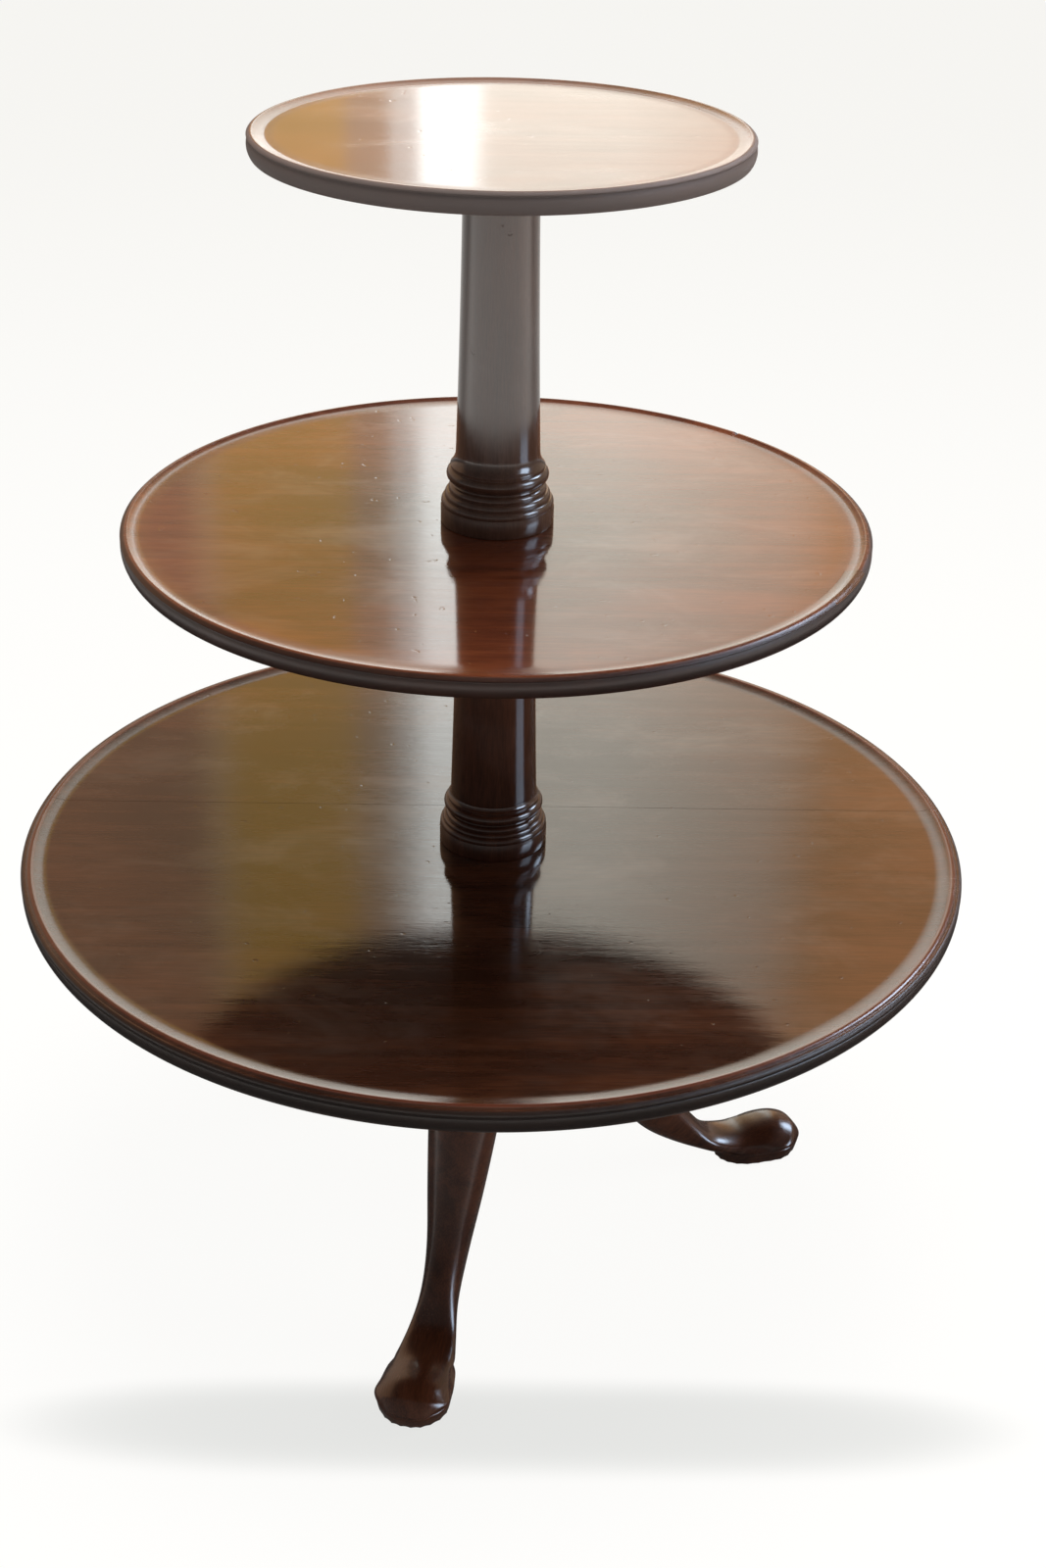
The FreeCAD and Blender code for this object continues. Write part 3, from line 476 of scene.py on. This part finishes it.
# FOOT PADS
# A low round pad under each foot, of the same wood worn almost black by the floor.
PAD_RADIUS = 20.0 * MM
PAD_REACH = 265.0 * MM
PAD_EDGE = 1.2 * MM
PAD_SIDES = 64
pad_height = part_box("foot_glides")[1][2]
pad_outline = [
    (0.0, 0.0),
    (PAD_RADIUS - PAD_EDGE, 0.0, 0.5 * MM),
    (PAD_RADIUS, PAD_EDGE),
    (PAD_RADIUS, pad_height),
    (0.0, pad_height),
]
foot_pads = turned("foot_pads", rounded(pad_outline), PAD_SIDES)
pads = [foot_pads] + [twin(foot_pads, node + "_pad") for node in list(LEG_ANGLES)[1:]]
for pad, angle in zip(pads, LEG_ANGLES.values()):
    turn = math.radians(angle)
    pad.data.transform(Matrix.Translation((PAD_REACH * math.cos(turn), PAD_REACH * math.sin(turn), 0)))
    pad.select_set(True)
bpy.ops.object.join()
pad_wood = polished_mahogany("pad_wood", (0.020, 0.010, 0.007), (0.035, 0.018, 0.012), gloss=0.4, ripple=0.05)
dress(foot_pads, pad_wood, "base", "foot_glides")

# BRACKET AND SCREWS
# A three-armed wrought-iron strap under the pillar ties the legs, held by slotted steel
# wood screws. More of the same screws hold the turned blocks to the trays.
iron = bpy.data.materials.new("forged_iron")
iron_finish = Finish(iron, "Material")
scale = iron_finish.noise(iron_finish.node("TexCoord", output="Object"), scale=90.0, detail=5.0)
iron_colour = iron_finish.toned([(0.3, (0.022, 0.02, 0.019)), (0.7, (0.07, 0.045, 0.03))], scale)
iron_bump = iron_finish.node("Bump", {}, {"Strength": 0.35, "Distance": MM, "Height": scale})
iron_finish.show(iron_finish.node("BsdfPrincipled", {}, {
    "Base Color": iron_colour, "Metallic": 0.7, "Roughness": scale * 0.3 + 0.45, "Normal": iron_bump,
}))
steel = bpy.data.materials.new("aged_steel")
steel_finish = Finish(steel, "Material")
tarnish = steel_finish.noise(steel_finish.node("TexCoord", output="Object"), scale=300.0, detail=3.0)
steel_colour = steel_finish.toned([(0.35, (0.12, 0.1, 0.085)), (0.7, (0.3, 0.28, 0.25))], tarnish)
steel_finish.show(steel_finish.node("BsdfPrincipled", {}, {
    "Base Color": steel_colour, "Metallic": 1.0, "Roughness": tarnish * 0.3 + 0.25,
}))
for node, metal in (
    ("leg_bracket", iron), ("bracket_screws", steel), ("lower_block_screws", steel),
    ("middle_block_screws", steel), ("top_block_screws", steel),
):
    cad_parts[node].material_slots[0].material = metal

# TRAY BLOCKS
# Plain turned blocks under the trays, waxed and not polished, screwed on from below.
# Each is bored for the spindle and turns with its tray.
block_wax = polished_mahogany("block_wax", (0.060, 0.026, 0.013), (0.13, 0.06, 0.03), gloss=0.42, ripple=0.05)
for node in ("lower_tray_block", "middle_tray_block", "top_tray_block"):
    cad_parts[node].material_slots[0].material = block_wax

# LOWER TRAY
# The bottom tray is glued up from two boards and turned on the faceplate: a dished field that
# slopes up to its lip, a bead and a broad rounded edge. The seam behind the column shows as a hairline.
TRAY_SIDES = 288
TURNED_ARRIS = 0.25 * MM
tray_low, tray_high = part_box("lower_tray_front_board")
# The edge's widest point lies this far inside the radius that its insets are counted from.
WIDEST_INSET = 0.47 * MM
lower_radius = tray_high[0] + WIDEST_INSET
lower_lip = tray_high[2]
lower_under = tray_low[2]
SEAM_Y = 50.0 * MM
SEAM_WEAR = 0.2 * MM
SPINDLE_HOLE = 16.08 * MM
HOLE_LAND = 4 * MM


def off_rim(radius, lip, corners):
    """Corners given as millimetres in from the rim and down from the lip's top."""
    return [
        (radius - inset * MM, lip - drop * MM, *[swell * MM for swell in rise])
        for inset, drop, *rise in corners
    ]


def bored_board(radius, under, lip, dish, hole, corners, arc_steps):
    """A tray's closed outline, from its under side out to the moulded edge and in to the bore."""
    field = lip - dish * MM
    outline = [(hole, under)] + off_rim(radius, lip, corners) + [(hole + HOLE_LAND, field), (hole, field)]
    return rounded(outline, arc_steps) + [(hole, under)]


LOWER_DISH = 2.3
lower_edge = [
    (6.6, 20.0), (4.6, 20.0, 1.7), (1.0, 7.3), (1.6, 6.7), (0.9, 6.2, 1.9), (4.3, 1.7), (4.8, 1.1, 0.6),
    (9.2, 0.0, -0.15), (17.4, 1.9, -0.08), (22.6, LOWER_DISH), (24.6, LOWER_DISH),
]
lower_outline = bored_board(lower_radius, lower_under, lower_lip, LOWER_DISH, SPINDLE_HOLE, lower_edge, 10)
whole_tray = turned("lower_tray_front_turning", lower_outline, TRAY_SIDES, TURNED_ARRIS)
other_half = twin(whole_tray, "lower_tray_back_turning")
# The lower tray's polish is painted darker than the middle tray's: painted shade, where the middle tray
# shades it. It is also painted paler towards its right side, painted light from that side, and its rim takes
# the painted rim shade.
lower_polish = polished_mahogany(
    "lower_tray_polish", (0.030, 0.010, 0.005), (0.085, 0.028, 0.012), grain=(1.2, 26, 26), gloss=0.05,
    ripple=0.1, painted_lit_side=(0.10, 0.42, 0.25), rim=lower_radius, crest=(11.0, 5.5),
)
for board, node, is_front in (
    (whole_tray, "lower_tray_front_board", True),
    (other_half, "lower_tray_back_board", False),
):
    bpy.ops.object.select_all(action="DESELECT")
    board.select_set(True)
    bpy.context.view_layer.objects.active = board
    bpy.ops.object.mode_set(mode="EDIT")
    bpy.ops.mesh.select_all(action="SELECT")
    bpy.ops.mesh.bisect(
        plane_co=(0, SEAM_Y, 0), plane_no=(0, 1, 0), use_fill=True,
        clear_outer=is_front, clear_inner=not is_front,
    )
    bpy.ops.mesh.bevel(offset=SEAM_WEAR, segments=1)
    bpy.ops.object.mode_set(mode="OBJECT")
    bpy.ops.object.shade_smooth_by_angle(angle=SMOOTH_ANGLE)
    dress(board, lower_polish, "lower_tray", node)

# LOWER COLUMN
# The mahogany column section between the two larger trays, turned in one piece: a plinth, an
# ovolo, rings, a bead and a torus, then a plain shaft that tapers to the middle tray.
COLUMN_SIDES = 160
UPRIGHT_GRAIN = (2, 30, 30)
TURNING_GAP = 0.4 * MM
SHAFT_END = 2 * MM


def moulded_column(foot, top, base, shaft_top, spindle_foot, spindle_radius, pin=None):
    """A column's outline: its spindle, the base mouldings given in millimetres, the shaft,
    and above it the pin that the next tray turns on, given as its radius and top."""
    outline = [(0.0, spindle_foot), (spindle_radius, spindle_foot), (spindle_radius, foot)]
    outline += [
        (radius * MM, foot + height * MM, *[swell * MM for swell in rise])
        for radius, height, *rise in base
    ]
    outline += [(shaft_top, top - SHAFT_END), (shaft_top, top)]
    if pin:
        pin_radius, pin_top = pin
        outline += [(pin_radius, top), (pin_radius, pin_top), (0.0, pin_top)]
    else:
        outline += [(0.0, top)]
    return rounded(outline)


column_low, column_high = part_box("lower_column")
lower_foot = lower_lip - LOWER_DISH * MM + TURNING_GAP
lower_base = [
    (42.8, 0), (42.8, 12.0), (41.9, 13.8), (42.2, 13.8, 0.8), (40.9, 18.8), (40.1, 18.8, 0.9), (38.8, 22.6),
    (37.8, 22.6, 1.2), (35.6, 27.0, -0.7), (35.6, 29.2), (36.8, 29.2, 2.6), (36.8, 37.4), (36.2, 37.4),
    (36.6, 39.6, -0.9), (34.2, 45.0), (34.05, 46.8, -0.38),
]
LOWER_SHAFT, LOWER_SPINDLE = 29.9 * MM, 16 * MM
lower_column_outline = moulded_column(
    lower_foot, column_high[2], lower_base, LOWER_SHAFT, column_low[2], LOWER_SPINDLE,
)
lower_column = turned("lower_column_turning", lower_column_outline, COLUMN_SIDES, TURNED_ARRIS)
lower_column_polish = polished_mahogany(
    "lower_column_polish", (0.045, 0.016, 0.009), (0.100, 0.036, 0.018), turn=upright, grain=UPRIGHT_GRAIN,
    gloss=0.10, ripple=0.04,
)
dress(lower_column, lower_column_polish, "base", "lower_column")

# MIDDLE TRAY
# The middle tray, turned from one wide board of mahogany. Its lip has lost a chip behind and to
# the right, and at the right a strip of new wood is let into it.
middle_low, middle_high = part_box("middle_tray")
middle_radius = middle_high[0]
middle_lip = middle_high[2]
middle_under = middle_low[2]
MIDDLE_DISH = 2.3
MIDDLE_HOLE = 14.08 * MM
middle_lip_shape = [(0.0, 2.6, 0.6), (5.4, 0.0, -0.15), (9.8, 1.8, -0.08), (14.4, MIDDLE_DISH)]
middle_edge = [(4.6, 15.7), (2.6, 15.7, 1.5), (0.7, 4.6), (1.1, 3.6)] + middle_lip_shape
middle_edge += [(16.4, MIDDLE_DISH)]
middle_outline = bored_board(
    middle_radius, middle_under, middle_lip, MIDDLE_DISH, MIDDLE_HOLE, middle_edge, 8,
)
middle_tray = turned("middle_tray_turning", middle_outline, TRAY_SIDES, TURNED_ARRIS)
PATCH_START = math.radians(-19.5)
PATCH_SWEEP = math.radians(12.7)
PATCH_STEPS = 24
SAME_ANGLE = 0.001


def rim_wedge(name, outline):
    """A closed outline swept through the repair's angle and capped, for the strip and for its seat."""
    strip = turned(name, outline + [outline[0]], PATCH_STEPS, soften=0, sweep=PATCH_SWEEP)
    for end in (0, PATCH_SWEEP):
        bpy.ops.object.mode_set(mode="EDIT")
        bpy.ops.mesh.select_mode(type="VERT")
        bpy.ops.mesh.select_all(action="DESELECT")
        bpy.ops.object.mode_set(mode="OBJECT")
        for vertex in strip.data.vertices:
            angle = abs(math.atan2(vertex.co.y, vertex.co.x))
            vertex.select = abs(angle - end) < SAME_ANGLE
        bpy.ops.object.mode_set(mode="EDIT")
        bpy.ops.mesh.edge_face_add()
        bpy.ops.object.mode_set(mode="OBJECT")
    bpy.ops.object.mode_set(mode="EDIT")
    bpy.ops.mesh.select_all(action="SELECT")
    bpy.ops.mesh.normals_make_consistent(inside=False)
    bpy.ops.object.mode_set(mode="OBJECT")
    strip.data.transform(Matrix.Rotation(PATCH_START, 4, "Z"))
    return strip


SEAT_INSET, SEAT_DROP, SEAT_OVERRUN = 14.5 * MM, 3.6 * MM, 4 * MM
seat_inner, seat_outer = middle_radius - SEAT_INSET, middle_radius + SEAT_OVERRUN
seat_floor, seat_above = middle_lip - SEAT_DROP, middle_lip + SEAT_OVERRUN
seat_outline = [
    (seat_inner, seat_floor), (seat_outer, seat_floor), (seat_outer, seat_above), (seat_inner, seat_above),
]
cutter = rim_wedge("seat_cutter", seat_outline)
bpy.ops.object.select_all(action="DESELECT")
bpy.ops.mesh.primitive_cube_add(size=1, location=(0, 0, 0))
chip = bpy.context.object
CHIP_LENGTH, CHIP_WIDTH, CHIP_RAISE = 11 * MM, 4.5 * MM, 0.2 * MM
CHIP_ANGLE = math.radians(44.7)
CHIP_SKEW = math.radians(14)
chip.data.transform(Matrix.Diagonal((CHIP_LENGTH, CHIP_WIDTH, CHIP_WIDTH, 1)))
chip.data.transform(Matrix.Rotation(math.radians(45), 4, "X"))
chip.data.transform(Matrix.Rotation(CHIP_SKEW, 4, "Z"))
chip.data.transform(Matrix.Translation((middle_radius - CHIP_WIDTH, 0, middle_lip + CHIP_RAISE)))
chip.data.transform(Matrix.Rotation(CHIP_ANGLE, 4, "Z"))
for tool in (cutter, chip):
    bpy.ops.object.select_all(action="DESELECT")
    middle_tray.select_set(True)
    bpy.context.view_layer.objects.active = middle_tray
    carve = middle_tray.modifiers.new("carve", "BOOLEAN")
    carve.operation = "DIFFERENCE"
    carve.solver = "EXACT"
    carve.object = tool
    bpy.ops.object.modifier_apply(modifier="carve")
    bpy.data.objects.remove(tool)
bpy.ops.object.shade_smooth_by_angle(angle=SMOOTH_ANGLE)
# The middle tray's polish is painted paler and redder than the lower tray's: painted light, where it lies
# open to the light. Its rim takes the painted rim shade.
middle_polish = polished_mahogany(
    "middle_tray_polish", (0.085, 0.021, 0.009), (0.190, 0.050, 0.018), grain=(1.2, 28, 28), gloss=0.05,
    ripple=0.06, rim=middle_radius,
)
dress(middle_tray, middle_polish, "middle_tray", "middle_tray")
patch_corners = [(14.4, 3.6), (1.1, 3.6)] + middle_lip_shape
patch = rim_wedge("lip_repair", rounded(off_rim(middle_radius, middle_lip, patch_corners)))
bpy.ops.object.shade_smooth_by_angle(angle=SMOOTH_ANGLE)
patch_polish = polished_mahogany(
    "patch_polish", (0.055, 0.021, 0.011), (0.125, 0.05, 0.024), turn=(0, 0, math.radians(77)),
    grain=(1.5, 30, 30), gloss=0.2, ripple=0.05,
)
dress(patch, patch_polish, "middle_tray", "middle_lip_patch")

# UPPER COLUMN
# The column section between the middle and the top tray, turned like the lower one but
# slimmer, with the spindle that the top tray turns on.
column_low, column_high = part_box("upper_column")
upper_foot = middle_lip - MIDDLE_DISH * MM + TURNING_GAP
upper_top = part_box("top_tray_block")[0][2] - TURNING_GAP
upper_base = [
    (42.4, 0), (42.4, 11.6), (41.5, 13.9), (41.9, 13.9, 0.8), (40.4, 19.4), (39.4, 19.4, 0.9), (37.6, 24.6),
    (36.4, 24.6, 1.2), (34.2, 29.6, -0.7), (34.2, 32.4), (35.6, 32.4, 2.6), (35.6, 42.0), (35.0, 42.0),
    (35.4, 44.6, -0.9), (31.4, 54.0), (31.3, 56.0, -0.48),
]
UPPER_SHAFT, UPPER_SPINDLE, TOP_PIN = 27.4 * MM, 14 * MM, 11 * MM
top_pin = (TOP_PIN, column_high[2])
upper_column_outline = moulded_column(
    upper_foot, upper_top, upper_base, UPPER_SHAFT, column_low[2], UPPER_SPINDLE, top_pin,
)
upper_column = turned("upper_column_turning", upper_column_outline, COLUMN_SIDES, TURNED_ARRIS)
# The upper column's polish is painted paler and greyer than the lower column's: a painted sheen, the glare of
# the bright light behind the stand.
upper_column_polish = polished_mahogany(
    "upper_column_polish", (0.070, 0.034, 0.022), (0.120, 0.062, 0.042), turn=upright, grain=UPRIGHT_GRAIN,
    gloss=0.12, ripple=0.04,
)
dress(upper_column, upper_column_polish, "base", "upper_column")

# TOP TRAY
# The small top tray, turned on the faceplate from one board of mahogany. It hides the end of
# the spindle, and its edge is rubbed pale by hands.
top_low, top_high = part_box("top_tray")
top_radius = top_high[0]
top_lip = top_high[2]
top_under = top_low[2]
TOP_DISH = 2.4
TOP_TRAY_SIDES = 224
top_edge = [
    (4.0, 15.4), (2.0, 15.4, 1.4), (0.8, 4.2), (1.1, 3.4), (0.0, 2.4, 0.6),
    (3.5, 0.0, -0.15), (11.4, 2.1, -0.08), (13.6, TOP_DISH), (15.6, TOP_DISH),
]
top_outline = [(0.0, top_under)] + off_rim(top_radius, top_lip, top_edge) + [(0.0, top_lip - TOP_DISH * MM)]
top_tray = turned("top_tray_turning", rounded(top_outline), TOP_TRAY_SIDES, TURNED_ARRIS)
top_polish = polished_mahogany(
    "top_tray_polish", (0.075, 0.022, 0.010), (0.160, 0.048, 0.020), grain=(1.4, 30, 30), gloss=0.05,
    ripple=0.06, rim=top_radius, edge_tone=(0.13, 0.108, 0.1), edge_wear=0.4,
)
dress(top_tray, top_polish, "top_tray", "top_tray")

# FLOOR AND LIGHT
# A pale floor that runs out past the view, a little greyer far off, with a painted shadow: a soft grey band
# painted on it in front of the stand. In reflections only, a ring further out glows brighter. Above it, the
# even light of a studio with a bright, tall opening behind the stand.
FLOOR_SIZE = 60.0
FLOOR_PAINT = (0.94, 0.94, 0.93, 1)
NEAR_WHITE, FAR_WHITE, SHADOW_GREY = (1.0, 0.995, 0.98), (0.95, 0.94, 0.91), (0.80, 0.805, 0.79)
WARM_WHITE = (1.0, 0.97, 0.93, 1)
SHADOW_CENTRE = (0.021, -0.280)
SHADOW_HALF = (0.404, 0.055)
SHADOW_FADE = 1.3
FLOOR_GLOW, FLOOR_GLOW_SHARE = 1.02, 0.93
bpy.ops.object.select_all(action="DESELECT")
bpy.ops.mesh.primitive_plane_add(size=FLOOR_SIZE, location=(0, 0, 0))
floor = bpy.context.object
floor.name = "floor"
floor_paint = bpy.data.materials.new("floor_paint")
paint = Finish(floor_paint, "Material")
spot_x, spot_y = paint.parts(paint.node("TexCoord", output="Object"))[:2]
# Painted shadow: a soft grey band laid into the floor's colour in front of the stand.
band_x = (spot_x - SHADOW_CENTRE[0]) / SHADOW_HALF[0]
band_y = (spot_y - SHADOW_CENTRE[1]) / SHADOW_HALF[1]
off_band = band_x * band_x * band_x * band_x + band_y * band_y
band = paint.eased(off_band, 0.0, SHADOW_FADE, 1.0, 0.0, ease="SMOOTHERSTEP")
far_off = paint.eased(spot_y, -0.4, 4.5)
floor_tone = paint.tinted(band, paint.tinted(far_off, NEAR_WHITE, FAR_WHITE), SHADOW_GREY)
matt = paint.node("BsdfDiffuse", {}, {"Color": FLOOR_PAINT})
glow = paint.node("Emission", {}, {"Color": floor_tone, "Strength": FLOOR_GLOW})
distance = (spot_x * spot_x + spot_y * spot_y) ** 0.5
bright_ring = paint.eased(distance, 1.6, 2.2, 0.1, 2.6) * paint.eased(distance, 3.6, 5.5, 1.0, 0.25)
mirrored_glow = bright_ring * paint.eased(spot_y, -0.2, 1.2, 1.0, 0.3)
gleam = paint.node("Emission", {}, {"Color": WARM_WHITE, "Strength": mirrored_glow})
seen = paint.node("LightPath", output="Is Camera Ray")
mirrored = paint.node("LightPath", output="Is Glossy Ray")
paint.show(paint.mixed(mirrored, paint.mixed(seen * FLOOR_GLOW_SHARE, matt, glow), gleam))
floor.data.materials.append(floor_paint)

world = bpy.data.worlds.new("studio")
bpy.context.scene.world = world
studio = Finish(world, "World")
toward = studio.node("TexCoord", output="Generated")
east, north, rise = studio.parts(toward)
BEARING_SPREAD = 1.5
bearing = east / studio.sum("MAXIMUM", north, 0.05) * BEARING_SPREAD + 0.5
# The opening from left to right in plain bands: where each begins and ends, and its one tone.
# Between them the tone runs softly from one band into the next.
OPENING_BANDS = [
    (0.050, 0.282, (0.15, 0.08, 0.04)),
    (0.296, 0.299, (0.27, 0.18, 0.09)),
    (0.309, 0.397, (0.27, 0.15, 0.022)),
    (0.401, 0.425, (0.205, 0.13, 0.07)),
    (0.429, 0.444, (0.375, 0.35, 0.315)),
    (0.449, 0.478, (0.93, 0.95, 0.92)),
    (0.490, 0.580, (0.55, 0.52, 0.45)),
    (0.690, 0.700, (0.42, 0.33, 0.25)),
    (0.750, 0.850, (0.335, 0.17, 0.06)),
    (0.930, 0.980, (0.10, 0.06, 0.03)),
]
WINDOW_BLUE, EVEN_WHITE, BACKDROP = (0.62, 0.78, 1.0, 1), (0.98, 0.98, 1.0, 1), (0.985, 0.978, 0.958, 1)
OPENING_LIGHT, SIDE_WINDOW_LIGHT, FAR_WINDOW_LIGHT, EVEN_LIGHT = 4.7, 15.0, 24.0, 0.28
up_opening = studio.eased(rise, 0.55, 0.75, 1.0, 0.05) * studio.eased(rise, 0.2, 0.36, 0.8, 1.0)
behind_stand = studio.eased(north, 0.0, 0.3)
streaks = studio.node("Mapping", {}, {"Vector": toward, "Scale": (2.0, 2.0, 26.0)})
unevenness = studio.noise(streaks, scale=2.0, detail=3.0, roughness=0.6) * 0.7 + 0.65
side_bearing = studio.sum("ARCTAN2", east, north * -1.0)


def within(value, centre, half, edge):
    """1 where the value is within half of the centre, with a soft edge outside."""
    return studio.eased(studio.sum("ABSOLUTE", value - centre), half, half + edge, 1.0, 0.0)


def shining(colour, strength):
    return studio.node("Background", {}, {"Color": colour, "Strength": strength})


side_window = within(side_bearing, 1.32, 0.20, 0.03) * within(rise, 0.36, 0.17, 0.03)
far_window = within(side_bearing, 2.24, 0.17, 0.04) * within(rise, 0.64, 0.08, 0.03)
opening_strength = up_opening * behind_stand * unevenness * OPENING_LIGHT
opening_stops = [(place, tone) for begin, end, tone in OPENING_BANDS for place in (begin, end)]
opening_light = shining(studio.toned(opening_stops, bearing), opening_strength)
window_light = shining(WINDOW_BLUE, side_window * SIDE_WINDOW_LIGHT + far_window * FAR_WINDOW_LIGHT)
room_light = shining(WARM_WHITE, studio.eased(rise, 0.05, 0.6, 0.30, 0.10))
reflected = studio.node("AddShader", {}, {0: opening_light, 1: window_light})
reflected = studio.node("AddShader", {}, {0: reflected, 1: room_light})
glossy_ray = studio.node("LightPath", output="Is Glossy Ray")
camera_ray = studio.node("LightPath", output="Is Camera Ray")
lit = studio.mixed(glossy_ray, shining(EVEN_WHITE, EVEN_LIGHT), reflected)
studio.show(studio.mixed(camera_ray, lit, shining(BACKDROP, 1.0)))


def soft_lamp(name, place, aim, size, power, colour):
    """A square lamp that lights the pieces but does not show in their polish."""
    light = bpy.data.lights.new(name, "AREA")
    light.shape = "SQUARE"
    light.size = size
    light.energy = power
    light.color = colour
    lamp = bpy.data.objects.new(name, light)
    bpy.context.collection.objects.link(lamp)
    direction = Vector(aim) - Vector(place)
    lamp.matrix_world = Matrix.Translation(place) @ direction.to_track_quat("-Z", "Y").to_matrix().to_4x4()
    lamp.visible_glossy = False


soft_lamp("overhead", place=(0.2, 0.1, 3.0), aim=(0, 0, 0.3), size=2.0, power=80, colour=(1.0, 0.98, 0.95))
soft_lamp("side_lamp", place=(2.2, 0.2, 1.1), aim=(0.1, 0, 0.4), size=1.0, power=16, colour=(1.0, 0.93, 0.84))

# CAMERA
# The camera stands at the height of a person's chest and looks down on the stand, a little
# turned and tilted as when it is held by hand.
CAMERA_PLACE = Vector((0.0, -1.6117, 1.2884))
PITCH = math.radians(28.401)
ROLL = math.radians(1.164)
YAW = math.radians(0.834)
LENS, SENSOR_HEIGHT = 52.67, 36
forward = Vector((math.sin(YAW) * math.cos(PITCH), math.cos(YAW) * math.cos(PITCH), -math.sin(PITCH)))
level = Vector((math.cos(YAW), -math.sin(YAW), 0))
upward = level.cross(forward)
right = level * math.cos(ROLL) + upward * math.sin(ROLL)
top = upward * math.cos(ROLL) - level * math.sin(ROLL)
camera_data = bpy.data.cameras.new("camera")
camera_data.sensor_fit = "VERTICAL"
camera_data.sensor_height = SENSOR_HEIGHT
camera_data.lens = LENS
camera = bpy.data.objects.new("camera", camera_data)
bpy.context.collection.objects.link(camera)
camera.matrix_world = Matrix((
    (right.x, top.x, -forward.x, CAMERA_PLACE.x),
    (right.y, top.y, -forward.y, CAMERA_PLACE.y),
    (right.z, top.z, -forward.z, CAMERA_PLACE.z),
    (0, 0, 0, 1),
))
bpy.context.scene.camera = camera
bpy.context.scene.view_settings.view_transform = "Standard"
